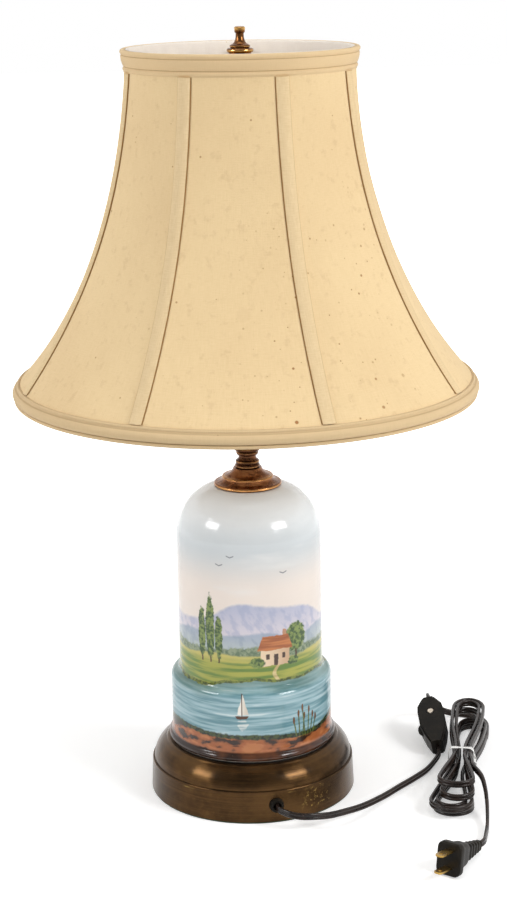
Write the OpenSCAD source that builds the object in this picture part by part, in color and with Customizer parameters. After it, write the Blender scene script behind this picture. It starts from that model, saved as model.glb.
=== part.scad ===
// Porcelain table lamp with a bell shade, a rotary switch on the cord and a tied hank of cord.
// Millimetres, +Z up, origin at the centre of the base on the table.

/* [Base] */
// Radius of the base at the table
base_r = 81.5; // [72:0.5:95]
// Wall of the spun base
base_wall = 1.2; // [0.8:0.1:2]
// Height of the step above the upright side
base_side_h = 26; // [20:0.5:32]
// Height of the seat under the porcelain
base_h = 43; // [38:0.5:55]
// Thickness of the felt
felt_t = 1.5; // [1:0.25:3]

/* [Porcelain] */
// Radius of the body
body_r = 56.5; // [48:0.5:66]
// How far the foot drum stands out from the body
foot_step = 7; // [4:0.5:12]
// How far the rim bead stands out from the foot drum
rim_step = 2.8; // [1:0.2:5]
// Wall of the porcelain
porcelain_wall = 5; // [3:0.5:8]
// Height of the foot drum
foot_h = 51; // [40:1:60]
// Height from the rim to the start of the crown
body_h = 168; // [130:1:200]
// Height of the domed crown
crown_h = 38; // [28:1:46]
// Thickness of the gasket under the rim
gasket_t = 0.8; // [0.5:0.1:2]

/* [Brass fittings] */
// Radius of the cap on the crown
cap_r = 26.4; // [23:0.2:30]
// Height of the cap
cap_h = 14; // [10:0.5:20]
// Radius of the turned neck
neck_r = 10; // [9:0.2:13]
// Radius of the waist of the neck
neck_waist_r = 6.7; // [6.4:0.1:8]
// Height of the neck
neck_h = 19; // [16:0.5:26]
// Outer radius of the lamp pipe
pipe_r = 5; // [4.6:0.1:5.4]
// Bore radius of the lamp pipe
pipe_bore_r = 3.6; // [3.4:0.1:4]
// How far the pipe stands up into the socket cap
pipe_stand = 9; // [8:0.5:10]
// Half the width of the pipe nut across its corners
nut_r = 8.3; // [7.5:0.1:9.5]
// Radius of the washer under the base
base_washer_r = 24; // [18:0.5:28]

/* [Harp and finial] */
// Height from the saddle to the top of the harp
harp_h = 290; // [260:1:320]
// Half the distance between the legs of the harp
harp_leg_x = 25; // [23:0.5:30]
// Radius of the harp wire
harp_wire_r = 1.6; // [1.3:0.1:2]
// Lift of a harp sleeve
sleeve_lift = 14; // [12:0.5:15]
// Radius of the stud under the finial
stud_r = 3.1; // [2.8:0.1:3.4]
// Height of the finial
finial_h = 21.5; // [19:0.5:28]
// Radius of the finial flange
finial_r = 10; // [8.5:0.5:14]

/* [Socket and bulb] */
// Outer radius of the socket shell
socket_r = 16.8; // [16.4:0.1:18.5]
// Height of the socket shell
socket_h = 41; // [39:0.5:46]
// Radius of the bulb glass
bulb_r = 30; // [24:0.5:34]
// Height of the bulb glass above the socket
bulb_h = 84; // [74:1:96]

/* [Shade] */
// Radius of the bell just under its top rim
shade_top_r = 85.7; // [75:0.5:100]
// Radius of the bell at its bottom ring
shade_bottom_r = 175; // [160:0.5:190]
// Height from the bottom ring to the top rim
shade_h = 250; // [230:1:270]
// How far the top rim stands above the spider washer
shade_drop = 7.7; // [5:0.1:14]
// Thickness of the shade cloth
cloth_t = 1; // [0.6:0.1:1.6]
// Radius of the wire of the shade frame
frame_wire_r = 1.5; // [1.2:0.1:2]
// Share of the flatness of a panel between two ribs
panel_flat = 0.85; // [0.3:0.05:1]
// Width of a seam tape
tape_w = 8; // [5:0.5:12]
// Direction of the first seam, from the front towards the right
seam_turn = 19; // [0:1:44]
// Height of the top collar trim
collar_h = 16.5; // [12:0.5:22]
// Height of the bottom trim
hem_h = 13.5; // [10:0.5:18]

/* [Cord, switch and plug] */
// Width of the flat twin cord
cord_w = 5.6; // [5:0.1:6]
// Thickness of the flat twin cord
cord_t = 2.8; // [2.4:0.1:3]
// Direction of the bushing, from the front towards the right
bushing_turn = 12.8; // [8:0.1:18]
// Height of the bushing
bushing_z = 14.6; // [13.5:0.1:16]
// Length of the switch body
switch_len = 56; // [54:0.5:58]
// Width of the switch body
switch_w = 22; // [20:0.5:24]
// Thickness of the switch body
switch_t = 15; // [13:0.5:17]
// Radius of the thumb wheel
wheel_r = 8; // [7:0.2:9]
// Thickness of the thumb wheel
wheel_t = 3.2; // [2.4:0.1:4]
// Height of the plug face, along the row of blades
plug_face_h = 25; // [24:0.5:25.5]
// Width of the plug face
plug_face_w = 20; // [18:0.5:22]
// Length of the plug with its boot
plug_len = 46; // [45:0.5:47]
// Length of a blade
blade_len = 16; // [15:0.5:18]

/* [Hidden] */
$fn = 96;

// Clearance of a thread or of a plain seat, and of a running fit
seat_gap = 0.1;
run_gap = 0.05;

// Levels up the lamp
rim_z = base_h + gasket_t;
foot_r = body_r + foot_step;
rim_r = foot_r + rim_step;
edge_z = rim_z + foot_h;
crown_z = rim_z + body_h;
crown_top = crown_z + crown_h;
crown_flat_r = 22;
cap_z = crown_z + crown_h * sqrt(1 - pow((cap_r - 1 - crown_flat_r) / (body_r - crown_flat_r), 2)) + 0.1;
neck_z = cap_z + cap_h;
saddle_z = neck_z + neck_h;
saddle_t = 1.5;
saddle_arm_h = 15;
socket_z = saddle_z + saddle_t;
harp_z = socket_z + harp_h;
stud_plate_t = 1.6;
washer_z = harp_z + stud_plate_t;
washer_t = 1.6;
finial_z = washer_z + washer_t;
shade_z = washer_z + shade_drop;

// Bell curve of the shade: one arc, upright at the top rim
bell_dr = shade_bottom_r - shade_top_r;
bell_rad = (bell_dr * bell_dr + shade_h * shade_h) / (2 * bell_dr);
function bell_r(z) = shade_top_r + bell_rad - sqrt(bell_rad * bell_rad - pow(shade_z - z, 2));
collar_z = shade_z + 1.2 - collar_h;
hem_top = shade_z - shade_h + 3.5;
hem_z = hem_top - hem_h;
// Radius of the cloth at angle a from the middle of a panel
function flat_share(z) = let (s = (collar_z - z) / (collar_z - hem_top))
    s <= 0 || s >= 1 ? 0 : panel_flat * (1 - pow(2 * s - 1, 4));
function cloth_r(z, a) = bell_r(z) * (1 - flat_share(z) * (1 - cos(22.5) / cos(a)));

// Profile helpers, points are [radius, height]
function arc(c, r, a0, a1, n) = [for (i = [0:n]) c + r * [cos(a0 + (a1 - a0) * i / n), sin(a0 + (a1 - a0) * i / n)]];
function oval(c, rx, rz, a0, a1, n) = [for (i = [0:n]) let (a = a0 + (a1 - a0) * i / n) c + [rx * cos(a), rz * sin(a)]];
function bend(a, c, b, n) = [for (i = [0:n]) let (t = i / n) (1 - t) * (1 - t) * a + 2 * t * (1 - t) * c + t * t * b];
function unit(v) = v / norm(v);
function flip(p) = [for (i = [len(p) - 1:-1:0]) p[i]];

// Closed skin through rings of equal count, with both ends capped
module skin(rings) {
    m = len(rings[0]);
    n = len(rings);
    pts = [for (r = rings) for (p = r) p];
    sides = [for (i = [0:n - 2]) for (j = [0:m - 1]) let (k = (j + 1) % m)
        for (f = [[i * m + j, (i + 1) * m + j, i * m + k], [i * m + k, (i + 1) * m + j, (i + 1) * m + k]]) f];
    first = [for (j = [1:m - 2]) [0, j, j + 1]];
    last = [for (j = [1:m - 2]) [(n - 1) * m, (n - 1) * m + j + 1, (n - 1) * m + j]];
    polyhedron(points = pts, faces = concat(sides, first, last), convexity = 12);
}
// Closed skin through rings that come back to the first ring
module ring_skin(rings) {
    m = len(rings[0]);
    n = len(rings);
    pts = [for (r = rings) for (p = r) p];
    sides = [for (i = [0:n - 1]) for (j = [0:m - 1]) let (k = (j + 1) % m, h = (i + 1) % n)
        for (f = [[i * m + j, h * m + j, i * m + k], [i * m + k, h * m + j, h * m + k]]) f];
    polyhedron(points = pts, faces = sides, convexity = 12);
}

// Flat cord standing on edge: its width points up, square to its run
function cord_section(n) = [for (i = [0:n - 1]) let (a = (i + 0.5) * 360 / n)
    [cord_t / 2 * cos(a) / cos(180 / n), cord_w / 2 * (n == 6 ? sin(a) : sin(a) / cos(180 / n))]];
function run_way(p, i) = unit(p[min(i + 1, len(p) - 1)] - p[max(i - 1, 0)]);
function cord_ring(p, i, n, up) = let (t = run_way(p, i), s = unit(cross(t, up)), u = cross(s, t))
    [for (q = cord_section(n)) p[i] + q[0] * s + q[1] * u];
function cord_rings(p, n) = [for (i = [0:len(p) - 1]) cord_ring(p, i, n, [0, 0, 1])];
// Smooth route through hand-set points, k steps to a stretch
function stretch(a, b, c, d, t) = 0.5 * (2 * b + (c - a) * t + (2 * a - 5 * b + 4 * c - d) * t * t
    + (3 * b - a - 3 * c + d) * t * t * t);
function route(p, k) = concat([for (i = [0:len(p) - 2]) for (j = [0:k - 1])
    stretch(p[max(i - 1, 0)], p[i], p[i + 1], p[min(i + 2, len(p) - 1)], j / k)], [p[len(p) - 1]]);

// Bushing of the cord in the side of the base
bushing_r = 5.2;
bushing_way = [sin(bushing_turn), -cos(bushing_turn), 0];
bushing_out = base_r + 2.6;
bushing_mouth = bushing_way * bushing_out + [0, 0, bushing_z];

// Switch: ends and long axis
switch_mid = [152, 68, 17.5];
switch_turn = 93;
switch_rise = 18;
switch_roll = -12;
switch_way = [cos(switch_turn) * cos(switch_rise), sin(switch_turn) * cos(switch_rise), sin(switch_rise)];
switch_near = switch_mid - switch_way * switch_len / 2;
switch_far = switch_mid + switch_way * switch_len / 2;
wheel_x = -4;
wheel_y = switch_w / 2 + 2.4 - wheel_r;
wheel_pin_r = 1.5;
screw_x = 10;

// Plug: face and long axis
plug_turn = 235;
plug_rise = 9;
plug_way = [cos(plug_turn) * cos(plug_rise), sin(plug_turn) * cos(plug_rise), sin(plug_rise)];
plug_lift = 0.95;
plug_face = [141, -174, plug_face_h / 2 * cos(plug_rise) + plug_lift];
plug_tail = plug_face - plug_way * plug_len;
blade_gap = 12.7;

// Hank: flat loops on edge in four layers, spiralling in and out by turns, from the floor up
hank_mid = [170.5, 14, 0];
hank_turn = -9;
hank_half = 74;
hank_out = 17;
hank_step = 4.6;
hank_turns = 5;
layer_turns = hank_turns / 4;
hank_layer = cord_w + 0.7;
hank_floor = cord_w / 2 + 0.2;
hank_pinch = 9.7;
hank_waist = -14;
function hank_width(u) = let (k = min(3, floor(u / layer_turns)), f = u / layer_turns - k)
    hank_out - hank_step * layer_turns * (k % 2 == 0 ? f : 1 - f);
function ramp(s) = s < 0 ? 0 : s > 1 ? 1 : s * s * (3 - 2 * s);
function hank_rise(u) = [ramp((u - 1.12) / 0.13), ramp((u - 2.5) / 0.13), ramp((u - 3.62) / 0.13)];
function by_layer(p, u) = p[0] + hank_rise(u) * [p[1] - p[0], p[2] - p[1], p[3] - p[2]];
// Length of each layer towards the near and far folds, and its lean, so that the folds lie staggered
hank_near = [1, 1.09, 1.02, 0.86];
hank_far = [1, 0.96, 1.02, 1.06];
hank_lean = [-3.5, -3.9, -0.2, -0.6];
function hank_flare(y) = 0.92 - 0.14 * y / hank_half;
function hank_draw(y) = hank_pinch * exp(-pow((y - hank_waist) / 45, 2));
// Place on one loop: v runs 0 to 1 over right run, near fold, left run, far fold
function loop_place(v, w) =
    v < 0.25 ? [w, hank_half * (1 - 8 * v)] :
    v < 0.5 ? let (a = -(v - 0.25) * 720) [w * cos(a), -hank_half + w * sin(a)] :
    v < 0.75 ? [-w, hank_half * (8 * (v - 0.5) - 1)] :
    let (a = 180 - (v - 0.75) * 720) [w * cos(a), hank_half + w * sin(a)];
function side_of(x) = x / max(abs(x), 6);
function hank_point(u) = let (q = loop_place(u - floor(u), hank_width(u)), d = q[1] - hank_waist,
    x = q[0] * hank_flare(q[1]) - side_of(q[0]) * hank_draw(q[1]) - by_layer(hank_lean, u) * d / hank_half,
    y = hank_waist + d * by_layer(d < 0 ? hank_near : hank_far, u))
    hank_mid + [x * cos(hank_turn) - y * sin(hank_turn), x * sin(hank_turn) + y * cos(hank_turn),
        hank_floor + by_layer([0, hank_layer, 2 * hank_layer, 3 * hank_layer], u)];
hank_first = 0.02;
hank_last = hank_turns + 0.19;
hank_path = [for (i = [0:round((hank_last - hank_first) * 24)]) hank_point(hank_first + i / 24)];
hank_ends = [hank_path[0], hank_path[len(hank_path) - 1]];
hank_start_way = run_way(hank_path, 0);
hank_end_way = run_way(hank_path, len(hank_path) - 1);
hank_gap = min([for (i = [0:len(hank_path) - 8]) for (j = [i + 7:len(hank_path) - 1])
    let (d = hank_path[i] - hank_path[j]) max(norm([d[0], d[1]]) - cord_t, abs(d[2]) - cord_w)]);
echo(hank_gap = hank_gap);

// Routes of the free cord, set by hand
run_route = concat([bushing_mouth, bushing_mouth + 6 * bushing_way],
    [[28, -95, 14], [37, -97, 13], [47, -95, 12], [58, -89, 10], [70, -79, 8], [86, -62, 5], [103, -41, 3.2],
     [117, -23, 3], [130, -7, 3], [141, 8, 3.2], [149, 22, 5]],
    [switch_near - 8 * switch_way, switch_near]);
link_route = concat([switch_far, switch_far + 8 * switch_way],
    [[150.8, 110.5, 26.5], [153, 117.5, 20.5], [157.5, 122.5, 13.5], [164, 126, 7.5], [172.5, 127.5, 4],
     [181.5, 126.5, 3], [191, 121.5, 3], [198, 112.5, 3], [201, 100, 3]],
    [hank_ends[0] - 8 * hank_start_way, hank_ends[0]]);
tail_route = concat([hank_ends[1], hank_ends[1] + 8 * hank_end_way],
    [[179.6, -44, 20.2], [181, -57, 16.5], [181, -70, 11.5], [179.8, -85, 6.8], [178, -100, 4.3],
     [175.4, -113.5, 3.8]],
    [plug_tail - 9 * plug_way + [0, 0, 1.2], plug_tail]);

module base_shell() {
    taper = 1.2;
    lip = base_r - taper;
    seat_r = rim_r + 2.2;
    outer = concat([[base_r, felt_t]], arc([lip - 0.8, base_side_h - 0.8], 0.8, 0, 80, 4),
        bend([lip - 1.3, base_side_h - 0.2], [(lip + seat_r) / 2 + 3.6, (base_side_h + base_h) / 2 + 2.4],
            [seat_r + 0.4, base_h - 1.2], 12),
        [[seat_r - 0.6, base_h - 0.3], [seat_r - 1.6, base_h], [pipe_r + 0.3, base_h]]);
    inner = concat([[base_r - base_wall, felt_t], [lip - base_wall - 0.3, base_side_h - 1.4]],
        bend([lip - 1.3 - base_wall, base_side_h - 0.2 - base_wall / 2],
            [(lip + seat_r) / 2 + 2.4, (base_side_h + base_h) / 2 + 1.2],
            [seat_r - 0.8, base_h - 1.2 - base_wall / 2], 12),
        [[seat_r - 2, base_h - base_wall], [pipe_r + 0.3, base_h - base_wall]]);
    color([0.36, 0.26, 0.14])
    difference() {
        rotate_extrude()
        polygon(concat(outer, flip(inner)));
        translate([0, 0, bushing_z])
        rotate([0, 0, bushing_turn - 90])
        rotate([0, 90, 0])
        cylinder(r = bushing_r - 0.6, h = base_r + 20);
    }
}

module felt_pad() {
    color([0.18, 0.22, 0.16])
    cylinder(r = base_r - 0.6, h = felt_t);
}

module cord_bushing() {
    wall_r = base_r - base_wall;
    color([0.05, 0.05, 0.05])
    translate([0, 0, bushing_z])
    rotate([0, 0, bushing_turn - 90])
    rotate([0, 90, 0])
    difference() {
        union() {
            translate([0, 0, wall_r - 3.2])
            cylinder(r = bushing_r - 0.7, h = bushing_out - wall_r + 3.2);
            translate([0, 0, base_r - 0.1])
            cylinder(r1 = bushing_r + 0.6, r2 = bushing_r - 0.2, h = bushing_out - base_r + 0.1);
            translate([0, 0, wall_r - 3.2])
            cylinder(r = bushing_r, h = 1.6);
        }
        translate([0, 0, wall_r - 4])
        cylinder(r = cord_w / 2 + 0.4, h = bushing_out - wall_r + 5);
    }
}

module flat_ring(r, bore, h) {
    difference() {
        cylinder(r = r, h = h);
        translate([0, 0, -1])
        cylinder(r = bore, h = h + 2);
    }
}

washer_low = base_h - base_wall - 1.6;
lock_low = washer_low - 1.8;
nut_low = lock_low - 5;
pipe_low = nut_low - 4;
pipe_top = socket_z + pipe_stand;

module base_washer() {
    color([0.6, 0.6, 0.6])
    translate([0, 0, washer_low])
    flat_ring(base_washer_r, pipe_r + 0.3, 1.6);
}

module lock_washer() {
    color([0.55, 0.55, 0.55])
    translate([0, 0, lock_low])
    difference() {
        flat_ring(nut_r + 0.3, pipe_r + 0.3, 1.8);
        translate([3, -0.6, -1])
        cube([8, 1.2, 4]);
    }
}

module pipe_nut() {
    color([0.7, 0.6, 0.35])
    translate([0, 0, nut_low])
    difference() {
        linear_extrude(5)
        polygon([for (i = [0:5]) nut_r * [cos(60 * i), sin(60 * i)]]);
        translate([0, 0, -1])
        cylinder(r = pipe_r + run_gap, h = 7);
    }
}

module lamp_pipe() {
    color([0.62, 0.6, 0.55])
    translate([0, 0, pipe_low])
    flat_ring(pipe_r, pipe_bore_r, pipe_top - pipe_low);
}

module foot_gasket() {
    color([0.12, 0.1, 0.08])
    translate([0, 0, base_h])
    flat_ring(rim_r - 2.2, foot_r - porcelain_wall, gasket_t);
}

module porcelain_body() {
    bead = 3.2;
    ledge_r = 6;
    outer = concat([[foot_r - porcelain_wall, rim_z]], arc([rim_r - bead, rim_z + bead], bead, -90, 50, 10),
        bend([rim_r - bead + bead * cos(50), rim_z + bead + bead * sin(50)], [foot_r + 0.1, rim_z + 6.4],
            [foot_r, rim_z + 12], 8),
        arc([foot_r - ledge_r, edge_z], ledge_r, 0, 66, 9),
        bend([foot_r - ledge_r + ledge_r * cos(70), edge_z + ledge_r * sin(70)], [body_r + 0.2, edge_z + 6.6],
            [body_r, edge_z + 11], 6),
        oval([crown_flat_r, crown_z], body_r - crown_flat_r, crown_h, 0, 90, 22),
        [[pipe_r + 1.2, crown_top]]);
    inner = concat([[foot_r - porcelain_wall, rim_z], [foot_r - porcelain_wall, edge_z - 8],
        [body_r - porcelain_wall, edge_z + 1]],
        oval([crown_flat_r, crown_z], body_r - crown_flat_r - porcelain_wall, crown_h - porcelain_wall, 0, 90, 14),
        [[pipe_r + 1.2, crown_top - porcelain_wall]]);
    color([0.86, 0.85, 0.8])
    rotate_extrude()
    polygon(concat(outer, flip([for (i = [1:len(inner) - 1]) inner[i]])));
}

module vase_cap() {
    mid = cap_r * 0.71;
    top_r = neck_r + 1;
    color([0.45, 0.28, 0.16])
    rotate_extrude()
    polygon(concat([[cap_r - 2.4, cap_z]], arc([cap_r - 1.5, cap_z + 1.5], 1.5, -80, 100, 8),
        bend([cap_r - 2.2, cap_z + 3], [mid + 2.2, cap_z + 3.6], [mid + 1.1, cap_z + 5.4], 6),
        arc([mid, cap_z + 6.6], 1.3, -40, 110, 6),
        bend([mid - 0.9, cap_z + 7.9], [top_r + 1.4, cap_z + cap_h - 4.6], [top_r, cap_z + cap_h], 8),
        [[pipe_r + 0.3, cap_z + cap_h], [pipe_r + 0.3, cap_z + cap_h - 1.5], [top_r - 1.2, cap_z + cap_h - 1.5],
         [mid - 2, cap_z + 6]]));
}

module neck() {
    color([0.45, 0.28, 0.16])
    rotate_extrude()
    polygon(concat([[pipe_r + seat_gap, neck_z]], arc([neck_r - 1.9, neck_z + 1.6], 1.6, -90, 70, 7),
        arc([neck_r - 2.3, neck_z + 4.7], 1.6, -60, 78, 7),
        bend([neck_r - 2.1, neck_z + 6.3], [neck_waist_r + 0.2, neck_z + 7.2], [neck_waist_r, neck_z + 9.1], 6),
        bend([neck_waist_r, neck_z + 9.5], [neck_r - 1.4, neck_z + 10], [neck_r - 1.3, neck_z + 12.2], 6),
        [[neck_r - 1.7, neck_z + 12.6]],
        arc([neck_r - 2, neck_z + 15], 2, -55, 60, 8),
        [[neck_r - 1.5, neck_z + neck_h - 1.2], [neck_r - 1.5, neck_z + neck_h], [pipe_r + seat_gap, neck_z + neck_h]]));
}

module harp_saddle() {
    turn_r = 7;
    out = harp_leg_x + saddle_t / 2;
    in_r = turn_r - saddle_t;
    half = concat([[0, 0]], arc([out - turn_r, turn_r], turn_r, -90, 0, 8), [[out, saddle_arm_h]],
        [[out - saddle_t, saddle_arm_h]], arc([out - turn_r, turn_r], in_r, 0, -90, 8), [[0, saddle_t]]);
    color([0.75, 0.6, 0.3])
    translate([0, 0, saddle_z])
    difference() {
        union() {
            for (m = [0, 1])
            mirror([m, 0, 0])
            rotate([90, 0, 0])
            translate([0, 0, -5.5])
            linear_extrude(11)
            polygon(half);
            for (s = [-1, 1])
            translate([s * harp_leg_x, 0, saddle_arm_h - 3])
            cylinder(r = harp_wire_r, h = 10);
        }
        translate([0, 0, -1])
        cylinder(r = pipe_r + 0.3, h = 4);
    }
}

// Harp: leg, outward bend, long bow, top arch, all tangent arcs
leg_low = saddle_z + saddle_arm_h + 7.2;
leg_top = saddle_z + saddle_arm_h + 17.6 + sleeve_lift;
flare_a = 25;
flare_rad = 30;
bow_a = 20;
arch_end = 8;
harp_line = harp_z - harp_wire_r - 0.2;
flare_x = harp_leg_x + flare_rad * (1 - cos(flare_a));
flare_z = leg_top + flare_rad * sin(flare_a);
bow_k = (cos(bow_a) - cos(flare_a)) / (sin(bow_a) + sin(flare_a));
arch_rad = (flare_x - arch_end + bow_k * (harp_line - flare_z)) / (cos(bow_a) + bow_k * (1 - sin(bow_a)));
bow_rad = (harp_line - flare_z - arch_rad * (1 - sin(bow_a))) / (sin(bow_a) + sin(flare_a));

module wire_arc(centre, rad, a0, a1, wire) {
    translate([centre[0], 0, centre[1]])
    rotate([90, 0, 0])
    rotate([0, 0, a0])
    rotate_extrude(angle = a1 - a0)
    translate([rad, 0])
    circle(r = wire);
}

module knuckle(x, z) {
    translate([x, 0, z])
    sphere(r = harp_wire_r + 0.12);
}

module harp() {
    trim = 0.3;
    bow_c = [flare_x - bow_rad * cos(flare_a), flare_z + bow_rad * sin(flare_a)];
    color([0.78, 0.62, 0.32]) {
        for (m = [0, 1])
        mirror([m, 0, 0]) {
            translate([harp_leg_x, 0, leg_low])
            cylinder(r = harp_wire_r, h = leg_top - leg_low - 0.2);
            knuckle(harp_leg_x, leg_top);
            wire_arc([harp_leg_x + flare_rad, leg_top], flare_rad, 180 - flare_a + trim, 180 - trim, harp_wire_r);
            knuckle(flare_x, flare_z);
            wire_arc(bow_c, bow_rad, 0.1 - flare_a, bow_a - 0.1, harp_wire_r);
            knuckle(bow_c[0] + bow_rad * cos(bow_a), bow_c[1] + bow_rad * sin(bow_a));
            wire_arc([arch_end, harp_line - arch_rad], arch_rad, bow_a + trim, 90 - trim, harp_wire_r);
            knuckle(arch_end, harp_line);
        }
        translate([0.2 - arch_end, 0, harp_line])
        rotate([0, 90, 0])
        cylinder(r = harp_wire_r, h = 2 * arch_end - 0.4);
    }
}

module harp_stud() {
    color([0.78, 0.62, 0.32]) {
        translate([0, 0, harp_z])
        cylinder(r = 9, h = stud_plate_t);
        translate([0, 0, washer_z - 0.5])
        cylinder(r = stud_r, h = washer_t + 11.5);
    }
}

module sleeve() {
    translate([0, 0, saddle_z + saddle_arm_h])
    rotate_extrude()
    polygon([[harp_wire_r + 0.08, 0], [3.7, 0], [3.9, 0.8], [3.9, 2.4], [3.3, 3.2], [3.1, 13.6], [2.6, 14.6],
        [harp_wire_r + 0.08, 14.6]]);
}

module sleeve_left() {
    color([0.75, 0.6, 0.3])
    translate([-harp_leg_x, 0, 0])
    sleeve();
}

module sleeve_right() {
    color([0.75, 0.6, 0.3])
    translate([harp_leg_x, 0, 0])
    sleeve();
}

cap_rim = 16;
insulator_z = socket_z + 17;
contact_z = insulator_z + 11;
shell_low = socket_z + 13.5;
shell_top = shell_low + socket_h;
liner_r = socket_r - 0.7;

module socket_cap() {
    color([0.78, 0.6, 0.3])
    difference() {
        rotate_extrude()
        polygon(concat([[pipe_r + run_gap, socket_z], [7.4, socket_z], [7.4, socket_z + 6]],
            bend([8, socket_z + 7], [socket_r + 0.8, socket_z + 7.4], [socket_r + 1, socket_z + 13], 8),
            [[socket_r + 1, socket_z + cap_rim], [socket_r + 0.15, socket_z + cap_rim],
             [socket_r + 0.15, socket_z + 13.2]],
            bend([socket_r - 0.4, socket_z + 12.4], [socket_r - 0.9, socket_z + 9], [8.4, socket_z + 8], 6),
            [[pipe_r + run_gap, socket_z + 8]]));
        translate([0, 0, socket_z + 3.4])
        rotate([90, 0, 0])
        cylinder(r = 1.5, h = 12);
    }
}

module set_screw() {
    color([0.6, 0.6, 0.6])
    translate([0, -pipe_r - 0.1, socket_z + 3.4])
    rotate([90, 0, 0])
    difference() {
        cylinder(r = 1.45, h = 3);
        translate([-2, -0.3, 2.2])
        cube([4, 0.6, 2]);
    }
}

module socket_insulator() {
    color([0.1, 0.09, 0.08])
    translate([0, 0, insulator_z])
    difference() {
        cylinder(r = 14, h = 11);
        for (s = [-1, 1])
        translate([s * 15.6, 0, 5])
        cube([8, 9, 8], center = true);
        for (s = [-1, 1])
        translate([s * 8, 0, 5])
        rotate([0, s * 90, 0])
        cylinder(r = 1.3, h = 8);
    }
}

module terminal_screws() {
    color([0.75, 0.62, 0.35])
    for (s = [-1, 1])
    translate([s * 8.5, 0, insulator_z + 5])
    rotate([0, s * 90, 0]) {
        cylinder(r = 1.25, h = 3.2);
        translate([0, 0, 3.1])
        cylinder(r = 2.8, h = 1.7);
    }
}

module screw_shell() {
    color([0.75, 0.72, 0.66])
    translate([0, 0, contact_z])
    difference() {
        cylinder(r = 13.9, h = 23);
        translate([0, 0, 0.6])
        cylinder(r = 13.4, h = 23);
        translate([0, 0, -1])
        cylinder(r = 8, h = 3);
    }
}

module centre_contact() {
    color([0.8, 0.6, 0.3])
    translate([0, 0, contact_z])
    cylinder(r = 3.5, h = 1.2);
}

module socket_liner() {
    color([0.75, 0.7, 0.6])
    translate([0, 0, shell_low + 3])
    flat_ring(liner_r - 0.1, liner_r - 0.9, socket_h - 4);
}

module socket_shell() {
    color([0.78, 0.6, 0.3])
    rotate_extrude()
    polygon(concat([[liner_r, shell_low], [socket_r, shell_low], [socket_r, shell_low + 14]],
        arc([socket_r, shell_low + 15.2], 0.9, -90, 90, 6), [[socket_r, shell_low + 16.4]],
        [[socket_r, shell_top - 2.2]],
        arc([socket_r, shell_top - 0.9], 0.9, -90, 150, 8), [[liner_r, shell_top - 0.9]]));
}

// Cord inside the base and up the pipe: straight in, round one bend, straight up
bend_rad = pipe_low - bushing_z;
inner_path = concat(
    [for (d = [base_r - base_wall - 3.4, 60, 45, 30, bend_rad + 6]) bushing_way * d + [0, 0, bushing_z]],
    [for (a = [0:15:90]) bushing_way * (bend_rad * (1 - sin(a))) + [0, 0, bushing_z + bend_rad * (1 - cos(a))]],
    [for (i = [1:14]) [0, 0, pipe_low + (insulator_z - pipe_low) * i / 14]]);

module inner_cord() {
    across = [cos(bushing_turn), sin(bushing_turn), 0];
    color([0.12, 0.08, 0.06])
    skin([for (i = [0:len(inner_path) - 1]) let (t = run_way(inner_path, i), u = cross(across, t))
        [for (q = cord_section(8)) inner_path[i] - q[0] * across + q[1] * u]]);
}

glass_low = shell_top + 0.6;

module bulb_cap() {
    color([0.75, 0.75, 0.74])
    rotate_extrude()
    polygon([[0, contact_z + 1.3], [4.4, contact_z + 1.3], [5, contact_z + 2], [10.5, contact_z + 4],
        [13, contact_z + 5.5], [13, glass_low], [0, glass_low]]);
}

module bulb_glass() {
    ball_z = glass_low + bulb_h - bulb_r;
    ball_a = -32;
    color([0.95, 0.95, 0.92, 0.6])
    rotate_extrude()
    polygon(concat([[0, glass_low], [13, glass_low]],
        bend([13.2, glass_low + 1], [14.4, glass_low + 20],
            [bulb_r * cos(ball_a), ball_z + bulb_r * sin(ball_a)], 10),
        [for (p = arc([0, ball_z], bulb_r, ball_a, 84, 20)) p], [[0, ball_z + bulb_r]]));
}

rib_off = cloth_t + frame_wire_r + 0.6;
top_wire_z = shade_z - 2.5;
bottom_wire_z = shade_z - shade_h + 1;
top_wire_r = shade_top_r - rib_off;
function inside_r(z, d) = shade_top_r + bell_rad - sqrt(pow(bell_rad + d, 2) - pow(shade_z - z, 2));
bottom_wire_r = inside_r(bottom_wire_z, rib_off);

module seam_places() {
    for (k = [0:7])
    rotate([0, 0, seam_turn - 90 + 45 * k])
    children();
}

module shade_frame() {
    rad = bell_rad + rib_off;
    a0 = asin((shade_z - top_wire_z) / rad);
    a1 = asin((shade_z - bottom_wire_z) / rad);
    color([0.7, 0.68, 0.62]) {
        translate([0, 0, top_wire_z])
        rotate_extrude()
        translate([top_wire_r, 0])
        circle(r = frame_wire_r);
        translate([0, 0, bottom_wire_z])
        rotate_extrude()
        translate([bottom_wire_r, 0])
        circle(r = frame_wire_r);
        seam_places()
        wire_arc([shade_top_r + bell_rad, shade_z], rad, 180 + a0, 180 + a1, frame_wire_r);
    }
}

module shade_spider() {
    arm_t = washer_t - 0.3;
    arm_z = washer_z + washer_t / 2;
    arm_out = top_wire_r - frame_wire_r - 0.1;
    rise_at = arm_out - 14;
    rise = top_wire_z - arm_z;
    color([0.75, 0.62, 0.32]) {
        translate([0, 0, washer_z])
        flat_ring(13, stud_r + 0.3, washer_t);
        for (k = [0:2])
        rotate([0, 0, 90 + 120 * k])
        translate([0, 2, arm_z])
        rotate([90, 0, 0])
        linear_extrude(4)
        polygon([[9, -arm_t / 2], [rise_at, -arm_t / 2], [arm_out, rise - arm_t / 2], [arm_out, rise + arm_t / 2],
            [rise_at - 0.6, arm_t / 2], [9, arm_t / 2]]);
    }
}

cloth_top = shade_z - 0.6;
cloth_low = bottom_wire_z - 0.5;
cloth_levels = [for (i = [0:15]) cloth_top + (cloth_low - cloth_top) * i / 15];
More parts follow.
